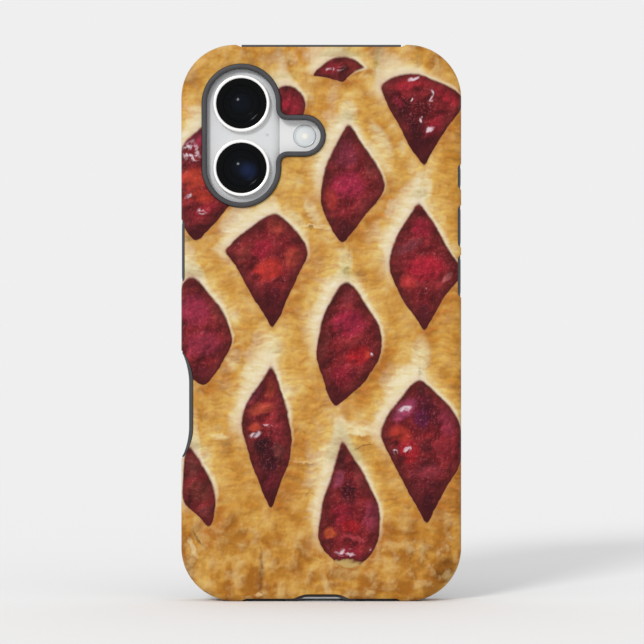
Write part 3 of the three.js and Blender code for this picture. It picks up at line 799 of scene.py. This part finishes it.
def lay_flat(body):
    """Stores on each point where it lands, in mm, when the shell's skin is laid out flat round its back."""
    core = PHONE_CORNER + SHELL_GROWN - SHELL_EDGE
    reach_x = PHONE_WIDTH / 2 + SHELL_GROWN - SHELL_EDGE - core
    reach_z = PHONE_HEIGHT / 2 + SHELL_GROWN - SHELL_EDGE - core
    store = body.data.attributes.new("laid_flat", "FLOAT_VECTOR", "POINT")
    for vertex, spot in zip(body.data.vertices, store.data):
        x, y, z = vertex.co / MM
        z -= MIDDLE_Z
        nearest = Vector((max(-reach_x, min(reach_x, x)), max(-reach_z, min(reach_z, z))))
        away = Vector((x, z)) - nearest
        past = away.length - core
        if past > 0:
            across = min(past, SHELL_EDGE)
            round_the_edge = math.asin(across / SHELL_EDGE) * SHELL_EDGE
            down_the_side = max(0.0, y - (SHELL_BACK_Y + SHELL_EDGE))
            away = away.normalized() * (core + round_the_edge + down_the_side)
        flat = nearest + away
        spot.vector = (flat.x, 0, flat.y + MIDDLE_Z)


def group_of(name, inputs, outputs):
    """An empty node group with its sockets, and the nodes that bring its inputs in and take its outputs."""
    group = bpy.data.node_groups.new(name, "ShaderNodeTree")
    for in_out, sockets in (("INPUT", inputs), ("OUTPUT", outputs)):
        for label, kind in sockets.items():
            group.interface.new_socket(name=label, in_out=in_out, socket_type="NodeSocket" + kind)
    return group, group.nodes.new("NodeGroupInput").outputs, group.nodes.new("NodeGroupOutput")


def overlap(tree, *parts):
    """Multiplies amounts, to find where all of them hold.

    A part is an amount, or an amount with the two ends of a soft step from 0 to 1, or with the ends of a step
    and the levels it goes between.
    """
    whole = None
    for part in parts:
        if isinstance(part, tuple):
            part = add(tree, "MapRange", part, **SOFT)
        whole = part if whole is None else add(tree, "Math", [whole, part], operation="MULTIPLY")
    return whole


def oval_of_colour():
    """Lays one colour over another in a soft oval, as strongly as its strength and its texture say."""
    group, given, result = group_of(
        "oval_of_colour",
        {
            **dict.fromkeys(("Under", "Colour"), "Color"),
            **dict.fromkeys(("Place", "Middle", "Along", "Across"), "Vector"),
            **dict.fromkeys(("Strength", "Texture", "Core"), "Float"),
        },
        {"Colour": "Color"},
    )
    away = add(group, "VectorMath", [given["Place"], given["Middle"]], operation="SUBTRACT")
    along = add(group, "VectorMath", [away, given["Along"]], operation="DOT_PRODUCT", out="Value")
    across = add(group, "VectorMath", [away, given["Across"]], operation="DOT_PRODUCT", out="Value")
    square = add(group, "Math", [across, across], operation="MULTIPLY")
    square = add(group, "Math", [along, along, square], operation="MULTIPLY_ADD")
    cover = overlap(group, (square, 1.0, given["Core"]), given["Strength"], given["Texture"])
    laid = add(group, "Mix", {0: cover, 6: given["Under"], 7: given["Colour"]}, **COLOURS)
    fill(group, result, {"Colour": laid})
    return group


def dab(tree, ovals, place, under, spot, code, strength, texture=1.0, core=0.1):
    """Dabs an oval of colour on the print. The spot is its middle, half length, half width and lean."""
    x, z, half_length, half_width, lean = spot
    cosine, sine = math.cos(math.radians(lean)), math.sin(math.radians(lean))
    sockets = {
        "Place": place,
        "Under": under,
        "Middle": (x, 0, z),
        "Along": (cosine / half_length, 0, sine / half_length),
        "Across": (-sine / half_width, 0, cosine / half_width),
        "Colour": colour(code),
        "Strength": strength,
        "Texture": texture,
        "Core": core,
    }
    return add(tree, "Group", sockets, node_tree=ovals)


def paint(tree, under, code, amount, strength=1.0):
    """Lays a colour over another by an amount that varies over the print."""
    amount = add(tree, "Math", [amount, strength], operation="MULTIPLY")
    return add(tree, "Mix", {0: amount, 6: under, 7: colour(code)}, **COLOURS)


def one_opening():
    """Weighs one more opening against those before it.

    It gives how far outside the nearest one a spot lies, where it lies in that one from -1 to 1, how toasted
    the crust is beside and below an opening, and how creamy it stays beside and above one.
    """
    found = {"Depth": "Float", "Seat": "Vector", "Toast": "Float", "Cream": "Float"}
    inputs = {"Place": "Vector", **found, "Ragged": "Float", "Scale": "Vector", "Shift": "Vector"}
    for i in range(4):
        inputs.update({f"Centre{i}": "Vector", f"Radius{i}": "Float", f"Turn{i}": "Float", f"Soft{i}": "Float"})
    group, given, result = group_of("one_opening", inputs, found)
    walls = []
    for i in range(4):
        far = add(group, "VectorMath", [given["Place"], given[f"Centre{i}"]], operation="DISTANCE", out="Value")
        past = add(group, "Math", [far, given[f"Radius{i}"]], operation="SUBTRACT")
        walls.append(add(group, "Math", [past, given[f"Turn{i}"]], operation="MULTIPLY"))
    scaled = [given["Place"], given["Scale"], given["Shift"]]
    here = add(group, "VectorMath", scaled, operation="MULTIPLY_ADD")
    sideways, _, height = add(group, "SeparateXYZ", [here], out=slice(None))
    soft = add(group, "MapRange", [height, -0.4, 0.4, given["Soft2"], given["Soft0"]], **SOFT)
    right = add(group, "Math", [walls[0], walls[1], given["Soft1"]], operation="SMOOTH_MAX")
    left = add(group, "Math", [walls[2], walls[3], given["Soft3"]], operation="SMOOTH_MAX")
    inside = add(group, "Math", [right, left, soft], operation="SMOOTH_MAX")
    nearer = add(group, "Math", [inside, given["Depth"]], operation="LESS_THAN")
    depth = add(group, "Math", [inside, given["Depth"]], operation="MINIMUM")
    seat = add(group, "Mix", {0: nearer, 4: given["Seat"], 5: here}, data_type="VECTOR", out=1)

    # The crust toasts most on an opening's lower right side, and stays creamy furthest out at its upper left.
    toast = overlap(
        group, (height, 0.4, -0.15), (inside, 6.0, 0.6), (height, -1.4, -0.95), (sideways, -0.3, 0.3, 0.5, 1.0)
    )
    toast = add(group, "Math", [toast, given["Toast"]], operation="MAXIMUM")
    reach = overlap(group, (height, -0.25, 1.25, 2.4, 5.6), (sideways, -0.3, 0.25, 1.35, 0.34), given["Ragged"])
    cream = overlap(group, (inside, reach, 0.0), (height, -0.4, 0.3))
    cream = add(group, "Math", [cream, given["Cream"]], operation="MAXIMUM")
    fill(group, result, {"Depth": depth, "Seat": seat, "Toast": toast, "Cream": cream})
    return group


def lattice(tree, torn, ragged):
    """The pastry's openings: distance outside the nearest, seat in it, and the toasted and creamy zones."""
    opening = one_opening()
    found = {"Depth": 99.0, "Seat": (0, 0, 0), "Toast": 0.0, "Cream": 0.0}
    for *corners, bulges, softness in LATTICE_WINDOWS:
        top, right, bottom, left = corners
        half_wide, half_tall = (right[0] - left[0]) / 2, (top[1] - bottom[1]) / 2
        middle_x, middle_z = (top[0] + bottom[0]) / 2, (right[1] + left[1]) / 2
        sockets = {
            "Place": torn,
            "Ragged": ragged,
            "Scale": (1 / half_wide, 0, 1 / half_tall),
            "Shift": (-middle_x / half_wide, 0, -middle_z / half_tall),
            **found,
        }
        for i, bulge in enumerate(bulges):
            centre, radius = bulging_side(corners[i], corners[(i + 1) % 4], bulge)
            turn = math.copysign(1, bulge)
            sockets.update({f"Centre{i}": centre, f"Radius{i}": radius, f"Turn{i}": turn, f"Soft{i}": softness[i]})
        outputs = add(tree, "Group", sockets, node_tree=opening, out=slice(None))
        found = dict(zip(found, outputs))
    return found.values()


def relief(tree, place, light, **noise):
    """A noise, and its slope towards the light, which is above 0 on a lit side and below 0 in shade."""
    heights = []
    for shift in ((0, 0, 0), light):
        where = add(tree, "VectorMath", [place, shift], operation="ADD")
        heights.append(add(tree, "TexNoise", {"Vector": where, **noise}))
    return heights[0], add(tree, "Math", heights, operation="SUBTRACT")


def pastry_colour(tree, ovals, place, torn, crinkled, blotch, depth, seat, toast, cream):
    """Baked pastry: cream where it dips to an opening's upper sides, golden and wrinkled on the strands."""
    seat_x, _, seat_z = add(tree, "SeparateXYZ", [seat], out=slice(None))
    place_x, _, place_z = add(tree, "SeparateXYZ", [place], out=slice(None))
    crumb, crumb_slope = relief(tree, torn, (-0.4, 0, 0.6), Scale=1 / 4.2, Detail=4.0, Roughness=0.55)

    # Soft wrinkles run across each strand, so they lean one way or the other, and bend with its swellings.
    bent = add(tree, "VectorMath", [blotch, (0, 0, 5.0), torn], operation="MULTIPLY_ADD")
    lean = add(tree, "Math", [seat_x, seat_z], operation="MULTIPLY")
    lean = add(tree, "MapRange", [lean, -0.12, 0.12], **SOFT)
    both = []
    for turn in (-18, 18):
        along = add(tree, "Mapping", {0: bent, 2: (0, math.radians(turn), 0), 3: (0.4, 1, 1)})
        both.append(relief(tree, along, (0, 0, 0.5), Scale=1 / 1.7, Detail=1.5, Roughness=0.5))
    wrinkle, slope = [
        add(tree, "Mix", {0: lean, 2: falling, 3: rising}, data_type="FLOAT") for falling, rising in zip(*both)
    ]

    # The crust outside the lattice, at both ends, is crumbly and patchy instead.
    strand = overlap(tree, (place_z, 12.0, 30.0, 0.15, 1.0), (place_z, 150.0, 134.0, 0.2, 1.0))
    crumbly = add(tree, "Math", [strand, -0.6, 1.0], operation="MULTIPLY_ADD")
    patchy = overlap(tree, (blotch, 0.36, 0.64, -0.5, 0.5), crumbly)
    ridged = overlap(tree, wrinkle, toast)
    east = add(tree, "MapRange", [place_x, 18.0, 38.0], **SOFT)
    top = add(tree, "MapRange", [place_z, 128.0, 152.0], **SOFT)
    crown = add(tree, "MapRange", [depth, 1.2, 4.8], **SOFT)
    bake = add(tree, "MapRange", [place_z, 60.0, 5.0, -0.31, -0.13], **SOFT)
    weights = [(east, 0.1), (top, 0.1), (crown, 0.22), (ridged, 0.58), (cream, -0.24)]
    weights += [(blotch, 0.85), (wrinkle, 0.13), (crumb, 0.56), (patchy, 0.24)]
    for amount, weight in weights:
        bake = add(tree, "Math", [amount, weight, bake], operation="MULTIPLY_ADD")
    pale_to_brown = [(0.16, "#E9DDB4"), (0.34, "#E0C890"), (0.5, "#DBB669")]
    pale_to_brown += [(0.66, "#D1A04A"), (0.84, "#BF8530"), (1.02, "#A2661C")]
    pastry = add(tree, "ValToRGB", [bake], stops=pale_to_brown)
    broken = add(tree, "MapRange", [wrinkle, 0.3, 0.6, 0.5, 1.15], **SOFT)
    torn = add(tree, "VectorMath", [slope, (0, 0, 1.5), torn], operation="MULTIPLY_ADD")
    crinkled = add(tree, "VectorMath", [slope, (0, 0, 2.0), crinkled], operation="MULTIPLY_ADD")

    # Broad patches follow the strands' swellings and wear through on the wrinkles. Narrow ones crinkle instead.
    for *spot, code, strength in PASTRY_MARKS:
        wide = min(spot[2:4]) > WIDE_MARK
        pastry = dab(tree, ovals, torn if wide else crinkled, pastry, spot, code, strength, broken if wide else 1.0)

    # The flanks that faced the oven's heat are toasted in stripes.
    pastry = paint(tree, pastry, "#B26E28", overlap(tree, toast, (wrinkle, 0.36, 0.6, 0.25, 1.0)), 0.9)

    # The thinnest flakes stay pale, and the hollows between them bake darker.
    pastry = paint(tree, pastry, "#E3C98A", overlap(tree, (crumb, 0.44, 0.7), crumbly), 0.5)
    pastry = paint(tree, pastry, "#A86E22", overlap(tree, (crumb, 0.5, 0.3), crumbly), 0.6)

    # Raw cream dough beside the upper sides, which turns olive right above an opening's top.
    pastry = paint(tree, pastry, "#EADFBA", cream, 0.8)
    pastry = paint(tree, pastry, "#AE9C5C", overlap(tree, (depth, 4.0, 0.3), (seat_z, 1.0, 1.12)), 0.6)
    lit = overlap(tree, slope, strand)
    lit = add(tree, "Math", [lit, 0.7, 0.5], operation="MULTIPLY_ADD")
    lit = add(tree, "Math", [crumb_slope, 0.7, lit], operation="MULTIPLY_ADD")
    pastry = add(tree, "Mix", {0: 0.8, 6: pastry, 7: lit}, **COLOURS, blend_type="OVERLAY")

    # Juice soaks into the dough above, and the crust's cut lower edge is browner.
    stain = overlap(tree, (depth, 1.8, -0.2), (seat_z, -0.3, 0.2), (seat_x, -0.1, 0.4, 1.0, 0.2))
    pastry = paint(tree, pastry, "#C48C8A", stain, 0.32)
    return paint(tree, pastry, "#B07A44", overlap(tree, (depth, 0.7, 0.0), (seat_z, 0.3, -0.15)), 0.5)


def fruit_colour(tree, ovals, torn, depth, seat):
    """Cherries in their juice: crimson in the middle, brown at the rim, darkest in the lowest corner."""
    seat_z = add(tree, "SeparateXYZ", [seat], out=2)
    flesh, slope = relief(tree, torn, (-0.6, 0, 0.8), Scale=1 / 5, Detail=2.5, Roughness=0.5)
    dark_to_bright = ((0.28, "#5C161A"), (0.42, "#721C22"), (0.55, "#80252B"), (0.72, "#943438"))
    fruit = add(tree, "ValToRGB", [flesh], stops=dark_to_bright)
    torn = add(tree, "VectorMath", [slope, (4.0, 0, 4.0), torn], operation="MULTIPLY_ADD")
    for *spot, code, strength in FRUIT_LUMPS:
        fruit = dab(tree, ovals, torn, fruit, spot, code, strength)

    # Skin speckled by tiny wet lights, and soft folds of darker juice.
    skin = add(tree, "TexNoise", {"Vector": torn, "Scale": 1 / 0.7, "Detail": 3.0, "Roughness": 0.75})
    specks = add(tree, "MapRange", [skin, 0.5, 0.72], **SOFT)
    pits = add(tree, "MapRange", [skin, 0.48, 0.28], **SOFT)
    rim = add(tree, "MapRange", [depth, -4.2, -0.2], **SOFT)
    for code, amount, strength in (("#CC7C82", specks, 0.4), ("#400C16", pits, 0.5), ("#542420", rim, 0.66)):
        fruit = paint(tree, fruit, code, amount, strength)
    lit = add(tree, "Math", [slope, 1.7, 0.5], operation="MULTIPLY_ADD")
    fruit = add(tree, "Mix", {0: 0.9, 6: fruit, 7: lit}, **COLOURS, blend_type="OVERLAY")

    edge = overlap(tree, (depth, -1.1, 0.0), (seat_z, 0.3, -0.2, 0.35, 1.0))
    fruit = paint(tree, fruit, "#4E1A1C", edge, 0.5)
    foot = add(tree, "MapRange", [seat_z, -0.5, -0.95], **SOFT)
    fruit = paint(tree, fruit, "#3E0E16", foot, 0.6)
    fruit = add(tree, "Mix", {0: 1.0, 6: fruit, 7: colour("#F3D8D6")}, **COLOURS, blend_type="MULTIPLY")

    # A sill of dough closes the opening nearest the bottom.
    fruit = dab(tree, ovals, torn, fruit, (6.2, 7.8, 9.0, 3.8, -7), "#C2A464", 1.0, core=0.5)

    wet = add(tree, "TexNoise", {"Vector": torn, "Scale": 1 / 1.5, "Detail": 2.0})
    gleam = add(tree, "MapRange", [wet, 0.42, 0.62], **SOFT)
    for spot in WET_GLINTS:
        fruit = dab(tree, ovals, torn, fruit, spot, "#F0DDE4", 0.8, gleam, core=0.0)
    return fruit


def printed_polycarbonate():
    """Moulded polycarbonate with a dye-printed picture of baked lattice pastry over cherries.

    The ink lies in the plastic, so the surface keeps one satin gloss and only a faint moulding texture.
    """
    made, tree, surface = new_material("printed_polycarbonate")
    place = add(tree, "Attribute", attribute_name="laid_flat", out="Vector")

    # Pastry swells and tears, so every outline wanders by a few tenths of a millimetre.
    slow = add(tree, "TexNoise", {"Vector": place, "Scale": 1 / 8, "Detail": 0.0}, out="Color")
    quick = add(tree, "TexNoise", {"Vector": place, "Scale": 1 / 1.6, "Detail": 2.0}, out="Color")
    swell = add(tree, "VectorMath", [slow, (0.5, 0.5, 0.5)], operation="SUBTRACT")
    flake = add(tree, "VectorMath", [quick, (0.5, 0.5, 0.5)], operation="SUBTRACT")
    flake = add(tree, "VectorMath", [flake, (0.5, 0, 0.5)], operation="MULTIPLY")
    wander = add(tree, "VectorMath", [swell, (1.3, 0, 1.3), flake], operation="MULTIPLY_ADD")
    torn = add(tree, "VectorMath", [place, wander], operation="ADD")
    crinkled = add(tree, "VectorMath", [flake, (2.5, 0, 2.5), torn], operation="MULTIPLY_ADD")

    blotch = add(tree, "TexNoise", {"Vector": place, "Scale": 1 / 7, "Detail": 3.0, "Roughness": 0.55})
    ragged = add(tree, "MapRange", [blotch, 0.3, 0.7, 0.4, 1.7], **SOFT)
    depth, seat, toast, cream = lattice(tree, torn, ragged)
    ovals = oval_of_colour()
    pastry = pastry_colour(tree, ovals, place, torn, crinkled, blotch, depth, seat, toast, cream)
    fruit = fruit_colour(tree, ovals, torn, depth, seat)
    seat_z = add(tree, "SeparateXYZ", [seat], out=2)
    soft = add(tree, "MapRange", [seat_z, -0.2, 0.3, 0.14, 0.4], **SOFT)
    soft_in = add(tree, "Math", [soft, -1.0], operation="MULTIPLY")
    through = add(tree, "MapRange", [depth, soft, soft_in], **SOFT)
    picture = add(tree, "Mix", {0: through, 6: pastry, 7: fruit}, **COLOURS)

    # Dye in plastic is a little deeper than the same dye on paper.
    deeper = add(tree, "Mix", {0: 1.0, 6: picture, 7: colour("#E6E4E6")}, **COLOURS, blend_type="MULTIPLY")

    where = places_in_mm(tree)
    grain = add(tree, "TexNoise", {"Vector": where, "Scale": 1 / 0.35, "Detail": 2.0})
    finish = {
        "Base Color": deeper,
        "Roughness": 0.42,
        "IOR": 1.58,
        "Specular IOR Level": 0.08,
        "Normal": add(tree, "Bump", {"Strength": 0.06, "Distance": 0.05 * MM, "Height": grain}),
    }
    fill(tree, surface, finish)
    return made


def moulded_liner():
    """Flexible polyurethane from a spark-eroded mould: dark grey, matte, with a very fine even grain."""
    made, tree, surface = new_material("moulded_polyurethane")
    where = places_in_mm(tree)
    grain = add(tree, "TexNoise", {"Vector": where, "Scale": 1 / 0.25, "Detail": 2.0})
    cloud = add(tree, "TexNoise", {"Vector": where, "Scale": 1 / 6, "Detail": 2.0})
    finish = {
        "Base Color": add(tree, "ValToRGB", [cloud], stops=((0.3, "#2D2C30"), (0.7, "#363539"))),
        "Roughness": add(tree, "MapRange", {0: grain, 3: 0.5, 4: 0.66}),
        "IOR": 1.5,
        "Normal": add(tree, "Bump", {"Strength": 0.25, "Distance": 0.02 * MM, "Height": grain}),
    }
    fill(tree, surface, finish)
    return made


def fine_metal(name, metallic, grain_size, dull, bright, smooth, rough):
    """Aluminium whose finish is too fine to part by eye: a faint change of tone and of gloss, in mm."""
    made, tree, surface = new_material(name)
    grain = add(tree, "TexNoise", {"Vector": places_in_mm(tree), "Scale": 1 / grain_size, "Detail": 2.0})
    finish = {
        "Base Color": add(tree, "ValToRGB", [grain], stops=((0.3, dull), (0.7, bright))),
        "Metallic": metallic,
        "Roughness": add(tree, "MapRange", {0: grain, 3: smooth, 4: rough}),
    }
    fill(tree, surface, finish)
    return made


def white_glass():
    """Colour-infused back glass, milled in one piece with its plateau: white with a satin gloss, and painted shade
    greying the plateau.
    """
    made, tree, surface = new_material("colour_infused_white_glass")
    where = places_in_mm(tree)
    cloud = add(tree, "TexNoise", {"Vector": where, "Scale": 1 / 12, "Detail": 1.0})
    height = add(tree, "SeparateXYZ", [where], out=1)
    # Painted shade: the raised plateau is given a greyer tone than the flat sheet, though both are one glass.
    plateau_shade = add(tree, "MapRange", [height, GLASS_BACK_Y - 0.1, PLATEAU_Y + 0.3], **SOFT)
    sheet = add(tree, "ValToRGB", [cloud], stops=((0.3, "#D3D4D3"), (0.7, "#D9DAD9")))
    finish = {
        "Base Color": paint(tree, sheet, "#C7C8C9", plateau_shade),
        "Roughness": add(tree, "MapRange", {0: cloud, 3: 0.2, 4: 0.28}),
        "IOR": 1.5,
    }
    fill(tree, surface, finish)
    return made


def screen_glass():
    """Chemically hardened cover glass over a dark panel: black border, and a lit area a shade lighter."""
    made, tree, surface = new_material("hardened_cover_glass")
    where = places_in_mm(tree)
    x, _, z = add(tree, "SeparateXYZ", [where], out=slice(None))

    # How far a spot lies from the core of a rectangle with rounded corners, which is the lit area.
    height = add(tree, "Math", [z, MIDDLE_Z], operation="SUBTRACT")
    rooms = []
    for place, half in ((x, LIT_HALF_WIDTH), (height, LIT_HALF_HEIGHT)):
        from_middle = add(tree, "Math", [place], operation="ABSOLUTE")
        room = add(tree, "Math", [from_middle, half - LIT_CORNER], operation="SUBTRACT")
        rooms.append(add(tree, "Math", [room, 0.0], operation="MAXIMUM"))
    corner = add(tree, "CombineXYZ", [rooms[0], rooms[1]])
    corner = add(tree, "VectorMath", [corner], operation="LENGTH", out="Value")
    lit = add(tree, "MapRange", [corner, LIT_CORNER + 0.1, LIT_CORNER - 0.1])
    panel = add(tree, "Mix", {0: lit, 6: colour("#08080A"), 7: colour("#121317")}, **COLOURS)

    # The front camera: a blue glint in its middle, a grey ring, and black out to its edge.
    eye_at = add(tree, "VectorMath", [where, (0, SCREEN_Y, FRONT_CAMERA_Z)], operation="DISTANCE", out="Value")
    share = add(tree, "Math", [eye_at, 0.4], operation="MULTIPLY")
    blue_to_black = ((0.0, "#1B2740"), (0.22, "#0A0D16"), (0.3, "#232427"), (0.36, "#050506"), (0.74, "#050506"))
    eye = add(tree, "ValToRGB", [share], stops=blue_to_black)
    in_eye = add(tree, "MapRange", [eye_at, 1.9, 1.85])
    tone = add(tree, "Mix", {0: in_eye, 6: panel, 7: eye}, **COLOURS)
    fill(tree, surface, {"Base Color": tone, "Roughness": 0.06, "IOR": 1.5, "Specular IOR Level": 0.3})
    return made


def lens_black():
    """Blackened lens barrel under coated glass: near black, with a faint painted blue reflection on the lower front
    element.
    """
    made, tree, surface = new_material("coated_lens_glass")
    where = places_in_mm(tree)
    to_upper = distance_across(tree, where, LENS_X, UPPER_LENS_Z)
    to_lower = distance_across(tree, where, LENS_X, LOWER_LENS_Z)
    nearest = add(tree, "Math", [to_upper, to_lower], operation="MINIMUM")
    share = add(tree, "Math", [nearest, 1 / 7], operation="MULTIPLY")
    steps_of_barrel = [(0.0, "#070B14"), (0.2, "#080C16"), (0.4, "#04060A")]
    steps_of_barrel += [(0.55, "#06070A"), (0.72, "#020304"), (1.0, "#030405")]
    tone = add(tree, "ValToRGB", [share], stops=steps_of_barrel)
    # Painted reflection: a faint blue patch right of and below the lower lens's middle.
    painted_reflection_at = distance_across(tree, where, LENS_X + 1.9, LOWER_LENS_Z - 0.8)
    painted_reflection = add(tree, "MapRange", [painted_reflection_at, 3.2, 0.4], **SOFT)
    tone = paint(tree, tone, "#1A2646", painted_reflection, 0.7)
    fill(tree, surface, {"Base Color": tone, "Roughness": 0.1, "IOR": 1.6, "Specular IOR Level": 0.06})
    return made


def flash_glass():
    """Milky glass moulded with fine rings that spread the flash, over a warm pale diode."""
    made, tree, surface = new_material("milky_moulded_glass")
    far = distance_across(tree, places_in_mm(tree), FLASH_X, LENS_MIDDLE_Z)
    share = add(tree, "Math", [far, 1 / 3.2], operation="MULTIPLY")
    warm_to_milky = [(0.0, "#F2E9D2"), (0.14, "#EDE8DC"), (0.3, "#D6D8D8")]
    warm_to_milky += [(0.7, "#D2D6D8"), (0.86, "#BFC4C6"), (1.0, "#D6D8D8")]
    rings = add(tree, "Math", [far, 2 * math.pi / 0.35], operation="MULTIPLY")
    rings = add(tree, "Math", [rings], operation="SINE")
    finish = {
        "Base Color": add(tree, "ValToRGB", [share], stops=warm_to_milky),
        "Roughness": 0.14,
        "IOR": 1.5,
        "Normal": add(tree, "Bump", {"Strength": 0.3, "Distance": 0.02 * MM, "Height": rings}),
    }
    fill(tree, surface, finish)
    return made


def woven_mesh(name, wire, gap):
    """Fine woven steel mesh over a small hole, with wires 0.12 mm apart, so it reads as one soft grey."""
    made, tree, surface = new_material(name)
    weave = add(tree, "TexVoronoi", {"Vector": places_in_mm(tree), "Scale": 1 / 0.12}, out="Distance")
    tone = add(tree, "ValToRGB", [weave], stops=((0.1, gap), (0.6, wire)))
    fill(tree, surface, {"Base Color": tone, "Metallic": 0.7, "Roughness": 0.5})
    return made


# ------------------------------------------------------------------ the object

shell = make_shell()
lay_flat(shell)
liner = make_liner()
camera_rim = make_camera_rim()
back_glass = make_back_glass()
band = make_phone_band()
screen = make_screen_cover()
camera_key = make_camera_key()
upper_ring, upper_barrel = make_lens("upper", UPPER_LENS_Z)
lower_ring, lower_barrel = make_lens("lower", LOWER_LENS_Z)
flash = make_flash()
tongue = make_port_tongue()
microphone_cover, earpiece_cover = make_meshes()

give([shell], printed_polycarbonate())
give([liner, camera_rim], moulded_liner())
# Bead-blasted, anodised aluminium is a pale, even metal with a soft sheen.
blasted = fine_metal("blasted_anodised_aluminium", 1.0, 0.12, "#CFD0D1", "#DDDEDF", 0.32, 0.44)
give([band, camera_key], blasted)
give([back_glass], white_glass())
give([screen], screen_glass())
# Diamond-turned aluminium is bright, and its turning lines are too fine to part.
give([upper_ring, lower_ring], fine_metal("diamond_turned_aluminium", 0.6, 0.3, "#F1F0EE", "#F8F7F5", 0.28, 0.36))
give([upper_barrel, lower_barrel], lens_black())
give([flash], flash_glass())
give([microphone_cover], woven_mesh("bright_wire_mesh", "#C4C4C5", "#8E8E90"))
give([tongue, earpiece_cover], woven_mesh("blackened_wire_mesh", "#4A4A4B", "#1A1A1B"))

metal = [band, camera_key]
rings = [upper_ring, lower_ring]
barrels = [upper_barrel, lower_barrel]
for made in (shell, liner, camera_rim, back_glass, *metal, screen, *rings, *barrels, flash):
    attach(made, "root")
for made in (tongue, microphone_cover, earpiece_cover):
    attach(made, "root")

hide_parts("shell")
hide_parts("liner")
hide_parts("back_glass")
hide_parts("phone_frame")
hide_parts("screen_glass")
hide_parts("camera_key")
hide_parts("lens_ring_upper")
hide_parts("lens_ring_lower")
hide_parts("lens_glass_upper")
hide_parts("lens_glass_lower")
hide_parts("flash")

# ------------------------------------------------------------------ floor, light and camera

floor_reach = 40  # in metres, so that no view shows its edge
floor_mesh = bmesh.new()
bmesh.ops.create_grid(floor_mesh, x_segments=1, y_segments=1, size=floor_reach)
floor = piece("floor", floor_mesh)
floor_paint, floor_tree, floor_surface = new_material("pale_studio_floor")
fill(floor_tree, floor_surface, {"Base Color": (0.8, 0.8, 0.8, 1), "Roughness": 1.0, "Specular IOR Level": 0.0})
give([floor], floor_paint)

scene = bpy.context.scene
scene.view_settings.view_transform = "Standard"
scene.view_settings.look = "None"

# An even white sky lights the object, and an even pale backdrop stands behind it.
world = bpy.data.worlds.new("studio")
world.use_nodes = True
studio = world.node_tree
studio.nodes.clear()
sky = add(studio, "Background", {"Color": (1, 1, 1, 1), "Strength": 0.842})
backdrop = add(studio, "Background", {"Color": colour("#EFEFEF"), "Strength": 1.0})
looked_at = add(studio, "LightPath", out="Is Camera Ray")
chosen = add(studio, "MixShader", [looked_at, sky, backdrop])
fill(studio, studio.nodes.new("ShaderNodeOutputWorld"), [chosen])
scene.world = world

# A broad key light from the upper left, behind the camera.
key = bpy.data.lights.new("key", "SUN")
key.energy = 1.64
key.angle = math.radians(14)
key_light = bpy.data.objects.new("key", key)
aside, fall = 0.452, math.radians(27)
towards = Vector((aside, 1.0, -math.tan(fall) * math.hypot(aside, 1.0)))
key_light.rotation_euler = towards.to_track_quat("-Z", "Y").to_euler()
scene.collection.objects.link(key_light)

lens = bpy.data.cameras.new("camera")
lens.sensor_width = 36
view_width, view_distance = 176.6, 900
lens.lens = lens.sensor_width * view_distance / view_width
lens.clip_end = 200
camera = bpy.data.objects.new("camera", lens)
camera.location = (0.2 * MM, -0.905, 76.7 * MM)
camera.rotation_euler = (math.radians(90), 0, 0)
scene.collection.objects.link(camera)
scene.camera = camera
